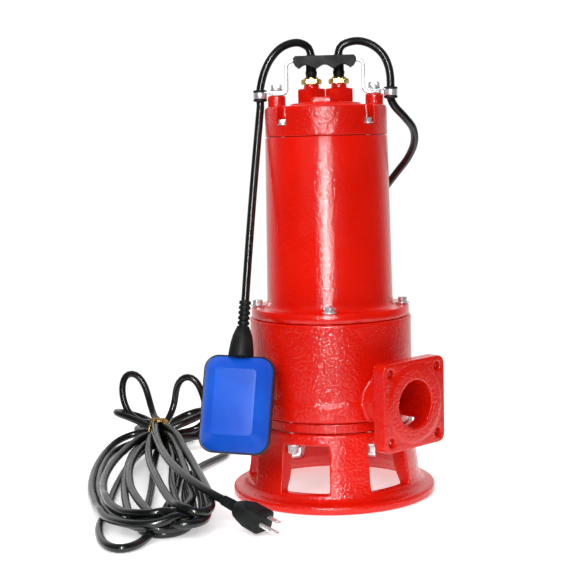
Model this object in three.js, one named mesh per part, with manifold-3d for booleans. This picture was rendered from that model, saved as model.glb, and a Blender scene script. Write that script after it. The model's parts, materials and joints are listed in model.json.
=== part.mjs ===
// A submersible sewage pump with a cutting impeller, a tethered float switch and a tied-up mains lead.
//
// Millimetres, +Z up. The origin is where the pump's axis meets the floor, and +X is the way
// the discharge flange faces. The handle, the cable glands and the clips stand on a line that is
// turned HANDLE_HEADING from +X, so they are built in a group turned by that angle.
import * as THREE from "three";
import { mergeVertices } from "three/addons/utils/BufferGeometryUtils.js";
import Module from "manifold-3d";

const wasm = await Module();
wasm.setup();

// ---------------------------------------------------------------- driving dimensions
const GAP = 0.3; // between pieces that touch
const ROUND = 48; // facets of a large round casting
const SMALL_ROUND = 16; // facets of a small round piece

// Stand: a flared ring with six windows
const STAND = { foot: 123, rim: 10, legFoot: 105, legTop: 97, height: 87 };
const STAND_INSIDE = { foot: 110, waist: 83, top: 81, waistHeight: 41 };
const WINDOW = { count: 6, angle: 33, low: 19, high: 74, turn: -3.5 };
const STAND_STUD = { circle: 88.8, turn: -16, across: 12.5 };

// Suction plate, volute and discharge
const PLATE = { radius: 93, mouth: 40, top: 100 };
const VOLUTE = { radius: 97, ledge: 122, top: 215, chamber: 76, register: 80 };
const DISCHARGE = { reach: 137, height: 122, side: 102, corner: 9, flange: 13, bore: 27.5 };
const RAISED_FACE = { radius: 43, height: 1.5 };
const FLANGE_HOLE = { radius: 5, offset: 39 };

// Motor
const FLANGE = { radius: 95, top: 227, boltCircle: 87.5 };
const BARREL = { foot: 75.7, head: 72.8, top: 429, bore: 65 };
const COVER = { radius: 72.6, top: 465, floor: 442.5, cavity: 56 };
const PLATFORM = { radius: 41.6, top: 468.5 };
const SHAFT_RADIUS = 9;
const STACK = { low: 265, high: 355, rotor: 33, stator: 64.5 };

// Handle, glands and clips
const HANDLE_HEADING = 45;
const HANDLE_BOSS = { offset: 58, radius: 10.5, top: 478 };
const STRAP = { thick: 3.5, width: 18, leg: 45.5, top: 518.5, bend: 7 };
const GRIP = { half: 37.6, low: 509.5, high: 524.4, depth: 22 };
const GLAND = { offset: 16.5, back: 18, across: 32.4, bodyTop: 487.3, sleeveTop: 527 };
const CLIP = { offset: 77.6, height: 479, half: 6, bush: 6.3, band: 7.6 };

// Float switch and its tether
const FLOAT = { wide: 82, tall: 112, thick: 44, corner: 17, rim: 8 };
const FLOAT_CENTRE = [-108, -97, 125]; // right, back and up from the pump's axis, along the handle line
const FLOAT_TURN = 8; // how far its face is turned to the left
const BOOT = { foot: 13.5, head: 7, long: 35, relief: 30 };

// Cords
const CORD = 9.6;
const CORD_SIDES = 8;

// ---------------------------------------------------------------- materials
function paint(colour, roughness, metalness) {
  return () => new THREE.MeshStandardMaterial({ color: colour, roughness, metalness });
}
const redPaint = paint(0xd81c08, 0.3, 0.1);
const castIron = paint(0x4a4a4c, 0.7, 0.6);
const stainless = paint(0xc8c9cc, 0.25, 1);
const carbonSteel = paint(0x8b8d92, 0.35, 1);
const electricalSteel = paint(0x5d6066, 0.5, 0.8);
const copper = paint(0xa85a2a, 0.4, 0.7);
const brass = paint(0xc9a24a, 0.3, 1);
const rubber = paint(0x1d1f1f, 0.65, 0);
const blackPlastic = paint(0x161718, 0.45, 0);
const bluePlastic = paint(0x1450cc, 0.4, 0);
const greyPlastic = paint(0x9a9ca0, 0.5, 0);
const tieWire = paint(0xc8a23c, 0.35, 0.6);

// ---------------------------------------------------------------- solids
const radians = THREE.MathUtils.degToRad;

// A closed three.js geometry as a solid that can be joined and cut.
function solid(geometry) {
  const bare = geometry.index ? geometry.toNonIndexed() : geometry.clone();
  bare.deleteAttribute("normal");
  bare.deleteAttribute("uv");
  const merged = mergeVertices(bare, 1e-4);
  return new wasm.Manifold(
    new wasm.Mesh({
      numProp: 3,
      vertProperties: new Float32Array(merged.attributes.position.array),
      triVerts: new Uint32Array(merged.index.array),
    }),
  );
}

// A joined or cut solid as a geometry again.
function geometryOf(shape) {
  const mesh = shape.getMesh();
  const geometry = new THREE.BufferGeometry();
  geometry.setAttribute("position", new THREE.BufferAttribute(new Float32Array(mesh.vertProperties), 3));
  geometry.setIndex(new THREE.BufferAttribute(new Uint32Array(mesh.triVerts), 1));
  geometry.computeVertexNormals();
  return geometry;
}

function join(...shapes) {
  return shapes.reduce((whole, shape) => whole.add(shape));
}

function cut(shape, ...tools) {
  return tools.reduce((rest, tool) => rest.subtract(tool), shape);
}

// A profile of [radius, height] points turned about +Z. The points run either way round.
function turned(profile, facets = ROUND) {
  const loop = profile.map(([radius, height]) => new THREE.Vector2(radius, height));
  const open = profile[0][0] === 0 && profile.at(-1)[0] === 0;
  if (!open) loop.push(loop[0].clone());
  if (THREE.ShapeUtils.area(loop) < 0) loop.reverse();
  return solid(new THREE.LatheGeometry(loop, facets).rotateX(Math.PI / 2));
}

// A round bar or ring standing on +Z, from one height to another.
function ring(outer, inner, low, high, facets = SMALL_ROUND) {
  if (inner === 0) return turned([[0, low], [outer, low], [outer, high], [0, high]], facets);
  return turned([[inner, low], [outer, low], [outer, high], [inner, high]], facets);
}

function box(x, y, z, wide, deep, tall) {
  return solid(new THREE.BoxGeometry(wide, deep, tall).translate(x, y, z));
}

// An outline in X and Y raised from one height to another.
function raised(shape, low, high, curveSegments = 8) {
  const options = { depth: high - low, bevelEnabled: false, curveSegments };
  return solid(new THREE.ExtrudeGeometry(shape, options).translate(0, 0, low));
}

// A regular polygon, with a corner on +X when turn is 0.
function polygon(sides, radius, turn = 0) {
  const corners = Array.from({ length: sides }, (_, i) => {
    const angle = (2 * Math.PI * i) / sides + turn;
    return new THREE.Vector2(radius * Math.cos(angle), radius * Math.sin(angle));
  });
  return new THREE.Shape(corners);
}

function hexagon(across, turn = 0) {
  return polygon(6, across / Math.sqrt(3), turn);
}

function roundedRectangle(wide, tall, corner) {
  const shape = new THREE.Shape();
  const [x, y] = [wide / 2, tall / 2];
  shape.moveTo(-x + corner, -y);
  shape.lineTo(x - corner, -y);
  shape.absarc(x - corner, -y + corner, corner, -Math.PI / 2, 0);
  shape.absarc(x - corner, y - corner, corner, 0, Math.PI / 2);
  shape.absarc(-x + corner, y - corner, corner, Math.PI / 2, Math.PI);
  shape.absarc(-x + corner, -y + corner, corner, Math.PI, 1.5 * Math.PI);
  return shape;
}

// A wedge-shaped cutter about +Z, between two radii and two heights.
function sector(inner, outer, centre, angle, low, high) {
  const shape = new THREE.Shape();
  const from = radians(centre - angle / 2);
  const to = radians(centre + angle / 2);
  shape.moveTo(inner * Math.cos(to), inner * Math.sin(to));
  shape.lineTo(inner * Math.cos(from), inner * Math.sin(from));
  shape.absarc(0, 0, outer, from, to);
  return raised(shape, low, high, 2);
}

function turn(shape, degrees) {
  return shape.rotate([0, 0, degrees]);
}

// Where a point at a radius and an angle about +Z is.
function around(radius, degrees) {
  return [radius * Math.cos(radians(degrees)), radius * Math.sin(radians(degrees))];
}

// A round cord along a smooth curve through its points.
function cordAlong(points, steps, diameter = CORD) {
  const path = new THREE.CatmullRomCurve3(points.map((p) => new THREE.Vector3(...p)));
  const section = polygon(CORD_SIDES, diameter / 2, Math.PI / CORD_SIDES);
  const options = { steps, extrudePath: path, bevelEnabled: false };
  return solid(new THREE.ExtrudeGeometry(section, options));
}

// A hexagon bolt standing head up, with the underside of its head at height 0.
function bolt(across, head, shank, length) {
  const washer = ring(across * 0.66, 0, 0, 1.4, 12);
  const body = ring(shank, 0, -length, 0.2, 8);
  return join(raised(hexagon(across), 1.2, head), washer, body);
}

// ---------------------------------------------------------------- the object's tree
const pump = new THREE.Group();
const handleLine = new THREE.Group();
handleLine.rotation.z = radians(HANDLE_HEADING);
pump.add(handleLine);

function add(name, shape, material, parent = pump) {
  const mesh = new THREE.Mesh(geometryOf(shape), material());
  mesh.name = name;
  parent.add(mesh);
  return mesh;
}

// ---------------------------------------------------------------- stand and suction plate
function makeStand() {
  const wall = turned([
    [STAND_INSIDE.foot, 0],
    [STAND.foot - 1.5, 0],
    [STAND.foot, 1.5],
    [STAND.foot, STAND.rim - 2],
    [STAND.foot - 2, STAND.rim],
    [STAND.foot - 7, STAND.rim],
    [STAND.foot - 9, STAND.rim + 3],
    [STAND.legFoot + 4, 18],
    [STAND.legFoot, 26],
    [STAND.legFoot - 4, 38],
    [STAND.legTop + 1, 52],
    [STAND.legTop, WINDOW.high],
    [STAND.legTop, STAND.height],
    [STAND_INSIDE.top, STAND.height],
    [STAND_INSIDE.top, WINDOW.high],
    [STAND_INSIDE.waist, STAND_INSIDE.waistHeight],
    [94, 18],
    [105, 6],
  ]);
  const windows = Array.from({ length: WINDOW.count }, (_, i) =>
    sector(60, 140, (360 / WINDOW.count) * i + WINDOW.turn, WINDOW.angle, WINDOW.low, WINDOW.high),
  );
  const studs = standStudAngles().map((angle) => {
    const [x, y] = around(STAND_STUD.circle, angle);
    return join(ring(4.4, 0, 70, 90, 8), ring(7.6, 0, 60, WINDOW.high, 12)).translate([x, y, 0]);
  });
  return cut(wall, ...windows, ...studs);
}

function standStudAngles() {
  const step = 360 / WINDOW.count;
  return Array.from({ length: WINDOW.count }, (_, i) => step * i + STAND_STUD.turn);
}

// A stud down through the plate and the stand's collar, with its nut under the collar.
function makeStandStud() {
  const nut = raised(hexagon(STAND_STUD.across), WINDOW.high - 10.5, WINDOW.high - 1.9);
  const washer = ring(7.2, 0, WINDOW.high - 2.1, WINDOW.high - GAP, 12);
  const rod = ring(4, 0, WINDOW.high - 13, PLATE.top + 3.4, 8);
  return join(nut, washer, rod);
}

function makeSuctionPlate() {
  const low = STAND.height + GAP;
  const high = PLATE.top - GAP;
  const disc = turned([
    [PLATE.mouth, low - 5],
    [PLATE.mouth + 12, low - 5],
    [PLATE.mouth + 14, low],
    [PLATE.radius, low],
    [PLATE.radius, high],
    [PLATE.mouth, high],
  ]);
  const holes = standStudAngles().map((angle) => {
    const [x, y] = around(STAND_STUD.circle, angle);
    return ring(4.4, 0, low - 1, high + 1, 8).translate([x, y, 0]);
  });
  return cut(disc, ...holes);
}

add("stand", makeStand(), redPaint);
add("suction_plate", makeSuctionPlate(), redPaint);
standStudAngles().forEach((angle, i) => {
  const [x, y] = around(STAND_STUD.circle, angle);
  add(`stand_stud_${i + 1}`, makeStandStud().translate([x, y, 0]), stainless);
});

// ---------------------------------------------------------------- volute and discharge
const FLANGE_BOLT_ANGLES = [45, 135, 225, 315];

// A round bar along +X, from one distance to another, at the height of the discharge.
function alongDischarge(radius, from, to, facets = 32) {
  const bar = new THREE.CylinderGeometry(radius, radius, to - from, facets);
  return solid(bar.rotateZ(Math.PI / 2).translate((from + to) / 2, 0, DISCHARGE.height));
}

function makeDischargeFlange() {
  const outline = roundedRectangle(DISCHARGE.side, DISCHARGE.side, DISCHARGE.corner);
  const back = DISCHARGE.reach - RAISED_FACE.height - DISCHARGE.flange;
  const options = { depth: DISCHARGE.flange, bevelEnabled: false, curveSegments: 5 };
  const plate = new THREE.ExtrudeGeometry(outline, options).rotateY(Math.PI / 2);
  const holes = [-1, 1].flatMap((side) =>
    [-1, 1].map((level) =>
      alongDischarge(FLANGE_HOLE.radius, back + 5, DISCHARGE.reach, 12).translate([
        0,
        side * FLANGE_HOLE.offset,
        level * FLANGE_HOLE.offset,
      ]),
    ),
  );
  const face = alongDischarge(RAISED_FACE.radius, back + 2, DISCHARGE.reach, 32);
  return cut(join(solid(plate.translate(back, 0, DISCHARGE.height)), face), ...holes);
}

function makeVolute() {
  const floor = PLATE.top;
  const casing = turned([
    [0, floor],
    [VOLUTE.radius + 1, floor],
    [VOLUTE.radius + 1, VOLUTE.ledge],
    [VOLUTE.radius, VOLUTE.ledge + 1.5],
    [VOLUTE.radius, VOLUTE.top - GAP],
    [0, VOLUTE.top - GAP],
  ]);
  const inside = turned([
    [0, floor - 1],
    [52, floor - 1],
    [52, floor + 6],
    [VOLUTE.chamber, floor + 6],
    [VOLUTE.chamber, 172],
    [VOLUTE.register, 172],
    [VOLUTE.register, VOLUTE.top + 1],
    [0, VOLUTE.top + 1],
  ], 40);
  const belowFloor = ring(VOLUTE.radius + 0.6, 0, 60, floor, ROUND);
  const neck = cut(alongDischarge(38, 60, DISCHARGE.reach - 6), belowFloor);
  const floorOfBore = ring(VOLUTE.radius - 1, 0, 60, floor + 6, ROUND);
  const bore = cut(alongDischarge(DISCHARGE.bore, 60, DISCHARGE.reach + 2), floorOfBore);
  const boltHoles = FLANGE_BOLT_ANGLES.map((angle) => {
    const [x, y] = around(FLANGE.boltCircle, angle);
    return ring(3.6, 0, VOLUTE.top - 22, VOLUTE.top + 1, 8).translate([x, y, 0]);
  });
  const studHoles = standStudAngles().map((angle) => {
    const [x, y] = around(STAND_STUD.circle, angle);
    return ring(4.4, 0, floor - 1, floor + 4, 8).translate([x, y, 0]);
  });
  const hollow = cut(join(casing, neck, makeDischargeFlange()), inside, bore);
  return cut(hollow, ...boltHoles, ...studHoles);
}

add("volute", makeVolute(), redPaint);

// ---------------------------------------------------------------- rotating parts
const ROTATION = { shaftFoot: 78, shaftHead: 425, cutterLow: 88, hub: 15, backPlate: 146 };

// One blade of the impeller, swept backwards from the hub to the rim.
function vane(start) {
  const shape = new THREE.Shape();
  const inner = [];
  const outer = [];
  const stations = 7;
  for (let i = 0; i <= stations; i++) {
    const share = i / stations;
    const radius = 12 + share * 49;
    const angle = start - 75 * share;
    inner.push(new THREE.Vector2(...around(radius, angle - 150 / radius)));
    outer.push(new THREE.Vector2(...around(radius, angle + 150 / radius)));
  }
  shape.setFromPoints([...inner, ...outer.reverse()]);
  return raised(shape, 108, ROTATION.backPlate);
}

function makeImpeller() {
  const back = ring(62, 0, ROTATION.backPlate - 1, ROTATION.backPlate + 6, 40);
  const hub = ring(ROTATION.hub, 0, 106, ROTATION.backPlate + 16);
  const bore = ring(SHAFT_RADIUS + GAP, 0, 100, 170);
  return cut(join(hub, back, vane(0), vane(120), vane(240)), bore);
}

// The cutter screws onto the shaft. Two sharp lugs sweep the suction mouth, over a hexagon.
function makeCutter() {
  const hub = ring(14, 0, ROTATION.cutterLow, 105.5);
  const wrenchHexagon = raised(hexagon(19), ROTATION.shaftFoot + 1, ROTATION.cutterLow + 1);
  const lug = new THREE.Shape();
  lug.moveTo(8, -6);
  lug.lineTo(37, -9);
  lug.lineTo(37, 0);
  lug.lineTo(30, 6);
  lug.lineTo(8, 8);
  const blade = raised(lug, ROTATION.cutterLow + 3, 103);
  const thread = ring(6 + GAP, 0, 70, 84 + GAP);
  const bore = ring(SHAFT_RADIUS + GAP, 0, 84 - GAP, 110);
  return cut(join(hub, wrenchHexagon, blade, turn(blade, 180)), thread, bore);
}

function makeShaft() {
  return turned([
    [0, ROTATION.shaftFoot],
    [6, ROTATION.shaftFoot],
    [6, 84],
    [SHAFT_RADIUS, 84],
    [SHAFT_RADIUS, ROTATION.shaftHead],
    [0, ROTATION.shaftHead],
  ], SMALL_ROUND);
}

// The squirrel cage: a laminated core with end rings and cooling stubs.
function makeRotor() {
  const core = ring(STACK.rotor, 0, STACK.low, STACK.high, 20);
  const endRings = ring(STACK.rotor - 3, 0, STACK.low - 10, STACK.high + 10, 20);
  return cut(join(core, endRings), ring(SHAFT_RADIUS + GAP, 0, 200, 400));
}

add("shaft", makeShaft(), carbonSteel);
add("impeller", makeImpeller(), castIron);
add("cutter", makeCutter(), stainless);
add("rotor_core", makeRotor(), electricalSteel);
add("seal_rotating_head", ring(15, SHAFT_RADIUS + GAP, 163, 176), rubber);

// ---------------------------------------------------------------- oil chamber and bearings
// The bracket closes the oil chamber and holds the shaft seal and the lower bearing.
function makeBearingBracket() {
  return turned([
    [18, 184],
    [VOLUTE.register - GAP, 184],
    [VOLUTE.register - GAP, VOLUTE.top + 2],
    [58, VOLUTE.top + 2],
    [58, 232],
    [20.4, 232],
    [20.4, 216],
    [18, 216],
  ], 28);
}

// The plate between the impeller and the oil chamber, with the seal's fixed seat in it.
function makeSealPlate() {
  return turned([
    [17, 156],
    [VOLUTE.chamber - GAP, 156],
    [VOLUTE.chamber - GAP, 172 + GAP],
    [VOLUTE.register - GAP, 172 + GAP],
    [VOLUTE.register - GAP, 178],
    [24, 178],
    [24, 160],
    [17, 160],
  ], 28);
}

add("seal_plate", makeSealPlate(), castIron);
add("bearing_bracket", makeBearingBracket(), castIron);
add("lower_bearing", ring(20, SHAFT_RADIUS + GAP, 217, 231), carbonSteel);
add("upper_bearing", ring(20, SHAFT_RADIUS + GAP, 405, 418), carbonSteel);

// ---------------------------------------------------------------- motor
function makeMotorHousing() {
  const body = turned([
    [58 + GAP, VOLUTE.top + 2 + GAP],
    [82, VOLUTE.top + 2 + GAP],
    [82, VOLUTE.top],
    [FLANGE.radius, VOLUTE.top],
    [FLANGE.radius, FLANGE.top - 1.5],
    [FLANGE.radius - 1.5, FLANGE.top],
    [BARREL.foot + 4, FLANGE.top],
    [BARREL.foot, FLANGE.top + 4],
    [BARREL.head, BARREL.top - GAP],
    [BARREL.bore, BARREL.top - GAP],
    [BARREL.bore, 234],
    [58 + GAP, 234],
  ]);
  const bolts = FLANGE_BOLT_ANGLES.map((angle) => {
    const [x, y] = around(FLANGE.boltCircle, angle);
    return ring(3.6, 0, 200, 240, 8).translate([x, y, 0]);
  });
  const coverBolts = COVER_BOLT_ANGLES.map((angle) => {
    const [x, y] = around(COVER_BOLT_CIRCLE, angle);
    return ring(3, 0, BARREL.top - 13, BARREL.top + 1, 8).translate([x, y, 0]);
  });
  return cut(body, ...bolts, ...coverBolts);
}

const COVER_BOLT_ANGLES = [0, 90, 180, 270];
const COVER_BOLT_CIRCLE = 68.9;

// End turns of the winding: a fat ring with rounded shoulders.
function makeEndTurns(low, high) {
  const middle = (low + high) / 2;
  return turned([
    [40, middle],
    [44, low],
    [56, low],
    [61, middle],
    [56, high],
    [44, high],
  ], 20);
}

add("motor_housing", makeMotorHousing(), redPaint);
const SLOTS = { count: 12, radius: 50, long: 10, wide: 7 };

// The bars of one winding, or the slots that they lie in when they are grown.
function makeSlotBars(low, high, grow = 0) {
  const { count, radius, long, wide } = SLOTS;
  const bar = box(radius, 0, (low + high) / 2, long + 2 * grow, wide + 2 * grow, high - low);
  return Array.from({ length: count }, (_, i) => turn(bar, (360 / count) * i));
}

function makeStator() {
  const core = ring(STACK.stator, STACK.rotor + 0.8, STACK.low, STACK.high, 32);
  return cut(core, ...makeSlotBars(STACK.low - 1, STACK.high + 1, GAP));
}

function makeWinding() {
  const lower = makeEndTurns(240, STACK.low - GAP);
  const upper = makeEndTurns(STACK.high + GAP, 383);
  return join(lower, upper, ...makeSlotBars(STACK.low - 2, STACK.high + 2));
}

add("stator_core", makeStator(), electricalSteel);
add("winding", makeWinding(), copper);

FLANGE_BOLT_ANGLES.forEach((angle, i) => {
  const [x, y] = around(FLANGE.boltCircle, angle);
  const placed = bolt(10, 7, 3, 26).translate([x, y, FLANGE.top + GAP]);
  add(`flange_bolt_${i + 1}`, placed, stainless);
});

// ---------------------------------------------------------------- top cover
// A pocket in the rim of the cover, open upwards and outwards, for one cover bolt.
function pocket(angle) {
  const shape = new THREE.Shape();
  const half = 7.5;
  shape.moveTo(90, -half);
  shape.lineTo(90, half);
  shape.absarc(66.5, 0, half, Math.PI / 2, 1.5 * Math.PI);
  return turn(raised(shape, COVER.floor, COVER.top + 20, 4), angle);
}

// The cover carries the handle and the glands on top, and the upper bearing underneath.
function makeTopCover() {
  const low = BARREL.top + 1.2;
  const shell = turned([
    [0, low],
    [COVER.radius, low],
    [COVER.radius, COVER.top - 4],
    [COVER.radius - 1.2, COVER.top - 1.2],
    [COVER.radius - 4, COVER.top],
    [PLATFORM.radius + 2, COVER.top],
    [PLATFORM.radius, PLATFORM.top],
    [0, PLATFORM.top],
  ]);
  const cavity = turned([[0, low - 1], [COVER.cavity, low - 1], [COVER.cavity, 457], [0, 457]], 24);
  const bosses = [-1, 1].map((side) =>
    ring(HANDLE_BOSS.radius, 0, 460, HANDLE_BOSS.top, 20).translate([side * HANDLE_BOSS.offset, 0, 0]),
  );
  const screwHoles = [-1, 1].map((side) =>
    ring(3.6, 0, 463, 500, 8).translate([side * HANDLE_BOSS.offset, 0, 0]),
  );
  const cableHoles = [-1, 1].map((side) =>
    ring(8, 0, 440, 500, 12).translate([side * GLAND.offset, GLAND.back, 0]),
  );
  const frontBoss = box(-4, -12, PLATFORM.top + 3, 25, 18, 8);
  const onLine = (shape) => turn(shape, HANDLE_HEADING);
  const pockets = COVER_BOLT_ANGLES.map(pocket);
  const coverHoles = COVER_BOLT_ANGLES.map((angle) => {
    const [x, y] = around(COVER_BOLT_CIRCLE, angle);
    return ring(3.1, 0, 420, 450, 8).translate([x, y, 0]);
  });
  const bearingBoss = cut(ring(28, 0, 405, 459, 20), ring(20.4, 0, 404, 419, 20), ring(12, 0, 404, 428));
  const whole = join(cut(shell, cavity), bearingBoss, onLine(join(...bosses, frontBoss)));
  return cut(whole, ...pockets, ...coverHoles, onLine(join(...screwHoles, ...cableHoles)));
}

add("top_cover", makeTopCover(), redPaint);
const capacitor = ring(10, 0, -21, 21, 20).rotate([90, 0, 0]);
add("run_capacitor", capacitor.translate([-40.5, 0, 443]), greyPlastic);
COVER_BOLT_ANGLES.forEach((angle, i) => {
  const [x, y] = around(COVER_BOLT_CIRCLE, angle);
  add(`cover_bolt_${i + 1}`, bolt(8, 6.5, 2.4, 22).translate([x, y, COVER.floor + GAP]), stainless);
});

// ---------------------------------------------------------------- handle
// The strap's outline along the handle line (X) and up (Y): two feet, two legs and a level top.
function strapCentreLine() {
  const bend = STRAP.bend;
  const path = new THREE.Path();
  const foot = HANDLE_BOSS.top + GAP + STRAP.thick / 2;
  const top = STRAP.top;
  const leg = STRAP.leg;
  path.moveTo(-HANDLE_BOSS.offset - 8, foot);
  path.lineTo(-leg - bend, foot);
  path.absarc(-leg - bend, foot + bend, bend, -Math.PI / 2, 0);
  path.lineTo(-leg, top - bend);
  path.absarc(-leg + bend, top - bend, bend, Math.PI, Math.PI / 2, true);
  path.lineTo(0, top);
  const left = path.getPoints(4);
  const right = left.slice(0, -1).map((p) => new THREE.Vector2(-p.x, p.y)).reverse();
  return [...left, ...right];
}

// A strip of even thickness along a line of points, as an outline.
function ribbonOutline(line, thick) {
  const side = (sign) =>
    line.map((point, i) => {
      const before = line[Math.max(i - 1, 0)];
      const after = line[Math.min(i + 1, line.length - 1)];
      const along = after.clone().sub(before).normalize();
      return new THREE.Vector2(-along.y, along.x).multiplyScalar((sign * thick) / 2).add(point);
    });
  return new THREE.Shape([...side(-1), ...side(1).reverse()]);
}

function distinct(line) {
  return line.filter((p, i) => i === 0 || p.distanceTo(line[i - 1]) > 0.01);
}

// Stands an outline of X and height upright, centred on the handle line and as deep as given.
function upright(shape, depth) {
  const options = { depth, bevelEnabled: false, curveSegments: 6 };
  return solid(new THREE.ExtrudeGeometry(shape, options).rotateX(Math.PI / 2).translate(0, depth / 2, 0));
}

function makeStrap() {
  const strip = upright(ribbonOutline(distinct(strapCentreLine()), STRAP.thick), STRAP.width);
  const holes = [-1, 1].map((side) =>
    ring(3.6, 0, 470, 490, 8).translate([side * HANDLE_BOSS.offset, 0, 0]),
  );
  return cut(strip, ...holes);
}

// The grip has a flat top and three finger hollows underneath.
function makeGrip() {
  const { half, low, high } = GRIP;
  const shape = new THREE.Shape();
  const hollow = 11;
  shape.moveTo(-half, low + 5);
  shape.absarc(-half + 5, low + 5, 5, Math.PI, 1.5 * Math.PI);
  for (const centre of [-2, 0, 2]) {
    shape.lineTo(centre * hollow - 9, low);
    shape.quadraticCurveTo(centre * hollow, low + 9, centre * hollow + 9, low);
  }
  shape.absarc(half - 5, low + 5, 5, 1.5 * Math.PI, 2 * Math.PI);
  shape.lineTo(half, high - 3);
  shape.absarc(half - 3, high - 3, 3, 0, Math.PI / 2);
  shape.absarc(-half + 3, high - 3, 3, Math.PI / 2, Math.PI);
  const slot = box(0, 0, STRAP.top, 90, STRAP.width + 2 * GAP, STRAP.thick + 2 * GAP);
  return cut(upright(shape, GRIP.depth), slot);
}

add("handle_strap", makeStrap(), stainless, handleLine);
add("handle_grip", makeGrip(), rubber, handleLine);

// ---------------------------------------------------------------- cable clips
// A steel band round a rubber bush, with a tail that the handle's screw holds down.
function makeClipBand() {
  const low = CLIP.height - CLIP.half + 1.5;
  const high = CLIP.height + CLIP.half - 1.5;
  const tailLow = HANDLE_BOSS.top + STRAP.thick + 2 * GAP;
  const tail = box(-8, 0, tailLow + 0.6, 24, 12, 1.2);
  const band = join(ring(CLIP.band, 0, low, high, 20), tail);
  return cut(
    band,
    ring(CLIP.bush + GAP, 0, 400, 500, 20),
    ring(3.6, 0, 400, 500, 8).translate([HANDLE_BOSS.offset - CLIP.offset, 0, 0]),
  );
}

const CLIP_SIDES = { left: -1, right: 1 };
for (const [side, sign] of Object.entries(CLIP_SIDES)) {
  const band = sign > 0 ? makeClipBand() : makeClipBand().mirror([1, 0, 0]);
  const bush = ring(CLIP.bush, CORD / 2 + 2 * GAP, CLIP.height - CLIP.half, CLIP.height + CLIP.half, 20);
  const place = (shape) => shape.translate([sign * CLIP.offset, 0, 0]);
  add(`clip_band_${side}`, place(band), stainless, handleLine);
  add(`clip_bush_${side}`, place(bush), rubber, handleLine);
  const screw = bolt(11.5, 6.5, 3, 18).translate([
    sign * HANDLE_BOSS.offset,
    0,
    HANDLE_BOSS.top + STRAP.thick + 1.2 + 3 * GAP,
  ]);
  add(`handle_screw_${side}`, screw, stainless, handleLine);
}

// ---------------------------------------------------------------- cable glands
function makeGlandBody() {
  const body = raised(hexagon(GLAND.across, Math.PI / 6), PLATFORM.top + GAP, GLAND.bodyTop);
  const collar = ring(8.7, 0, GLAND.bodyTop - 1, GLAND.bodyTop + 4);
  const spigot = ring(7.7, 0, 458, PLATFORM.top + 1);
  return cut(join(body, collar, spigot), ring(6.7, 0, 450, 500));
}

function makeGlandNut() {
  const low = GLAND.bodyTop + 4 + GAP;
  return cut(raised(hexagon(21.4), low, low + 6.4), ring(6.7, 0, 450, 520));
}

function makeGlandSleeve() {
  return turned([
    [0, 460],
    [6.4, 460],
    [6.4, GLAND.sleeveTop - 12],
    [5.9, GLAND.sleeveTop - 1],
    [5.2, GLAND.sleeveTop],
    [0, GLAND.sleeveTop],
  ], 20);
}

for (const [side, sign] of Object.entries(CLIP_SIDES)) {
  const place = (shape) => shape.translate([sign * GLAND.offset, GLAND.back, 0]);
  add(`gland_body_${side}`, place(makeGlandBody()), redPaint, handleLine);
  add(`gland_nut_${side}`, place(makeGlandNut()), brass, handleLine);
  add(`gland_sleeve_${side}`, place(makeGlandSleeve()), rubber, handleLine);
}

// ---------------------------------------------------------------- float switch
// The float hangs on its cord from below the left clip. Its group's +Z runs up the cord.
const HANG_POINT = new THREE.Vector3(-CLIP.offset, 0, CLIP.height - CLIP.half - 7);
const TETHER_START = 4; // the free cord starts this far below the point that it swings about

function makeFloatGroup() {
  const centre = new THREE.Vector3(...FLOAT_CENTRE);
  const up = HANG_POINT.clone().sub(centre);
  const turned = radians(FLOAT_TURN);
  const back = new THREE.Vector3(Math.sin(turned), Math.cos(turned), 0);
  const long = up.length();
  up.normalize();
  back.addScaledVector(up, -back.dot(up)).normalize();
  const across = back.clone().cross(up);
  const group = new THREE.Group();
  group.setRotationFromMatrix(new THREE.Matrix4().makeBasis(across, back, up));
  group.position.copy(HANG_POINT);
  return [group, long];
}

const [floatGroup, FLOAT_DROP] = makeFloatGroup();
handleLine.add(floatGroup);
const FLOAT_TOP = -FLOAT_DROP + FLOAT.tall / 2;

// The float's outer shape, or the same shape grown or shrunk all round.
function floatShape(grow = 0) {
  const slope = (FLOAT.thick - FLOAT.rim) / 2;
  const flat = roundedRectangle(FLOAT.wide - 2 * slope, FLOAT.tall - 2 * slope, FLOAT.corner - 11);
  const options = {
    depth: FLOAT.rim,
    bevelEnabled: true,
    bevelSize: slope + grow,
    bevelThickness: slope + grow,
    bevelSegments: 2,
    curveSegments: 4,
  };
  const body = new THREE.ExtrudeGeometry(flat, options).rotateX(Math.PI / 2);
  return solid(body.translate(0, FLOAT.rim / 2, -FLOAT_DROP));
}

const FLOAT_SEAM = -2; // the seam is a little in front of the middle
const FLOAT_WALL = 2.5;

function makeFloatShell(front) {
  const shell = cut(floatShape(), floatShape(-FLOAT_WALL));
  const away = box(0, FLOAT_SEAM + (front ? 50 : -50 + GAP), -FLOAT_DROP, 200, 100, 200);
  return cut(shell, away);
}

// The cone that seals the cord into the float, and the ribbed strain relief above it.
function makeFloatBoot() {
  const foot = FLOAT_TOP - 10;
  const neck = FLOAT_TOP + BOOT.long;
  const ribs = [];
  const count = 5;
  const pitch = BOOT.relief / count;
  for (let i = 0; i < count; i++) {
    const low = neck + i * pitch;
    ribs.push([6.2, low + 0.5], [6.2, low + pitch * 0.6], [5, low + pitch * 0.7], [5, low + pitch]);
  }
  const profile = [[0, foot], [BOOT.foot, foot], [BOOT.foot, FLOAT_TOP + 3], [BOOT.head, neck], ...ribs];
  profile.push([0, neck + BOOT.relief]);
  return cut(turned(profile, 14), floatShape(GAP));
}

add("float_front_shell", makeFloatShell(true), bluePlastic, floatGroup);
add("float_rear_shell", makeFloatShell(false), blackPlastic, floatGroup);
add("float_boot", makeFloatBoot(), rubber, floatGroup);
add("float_tilt_switch", ring(9, 0, -FLOAT_DROP - 18, -FLOAT_DROP + 30, 16), greyPlastic, floatGroup);

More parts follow.
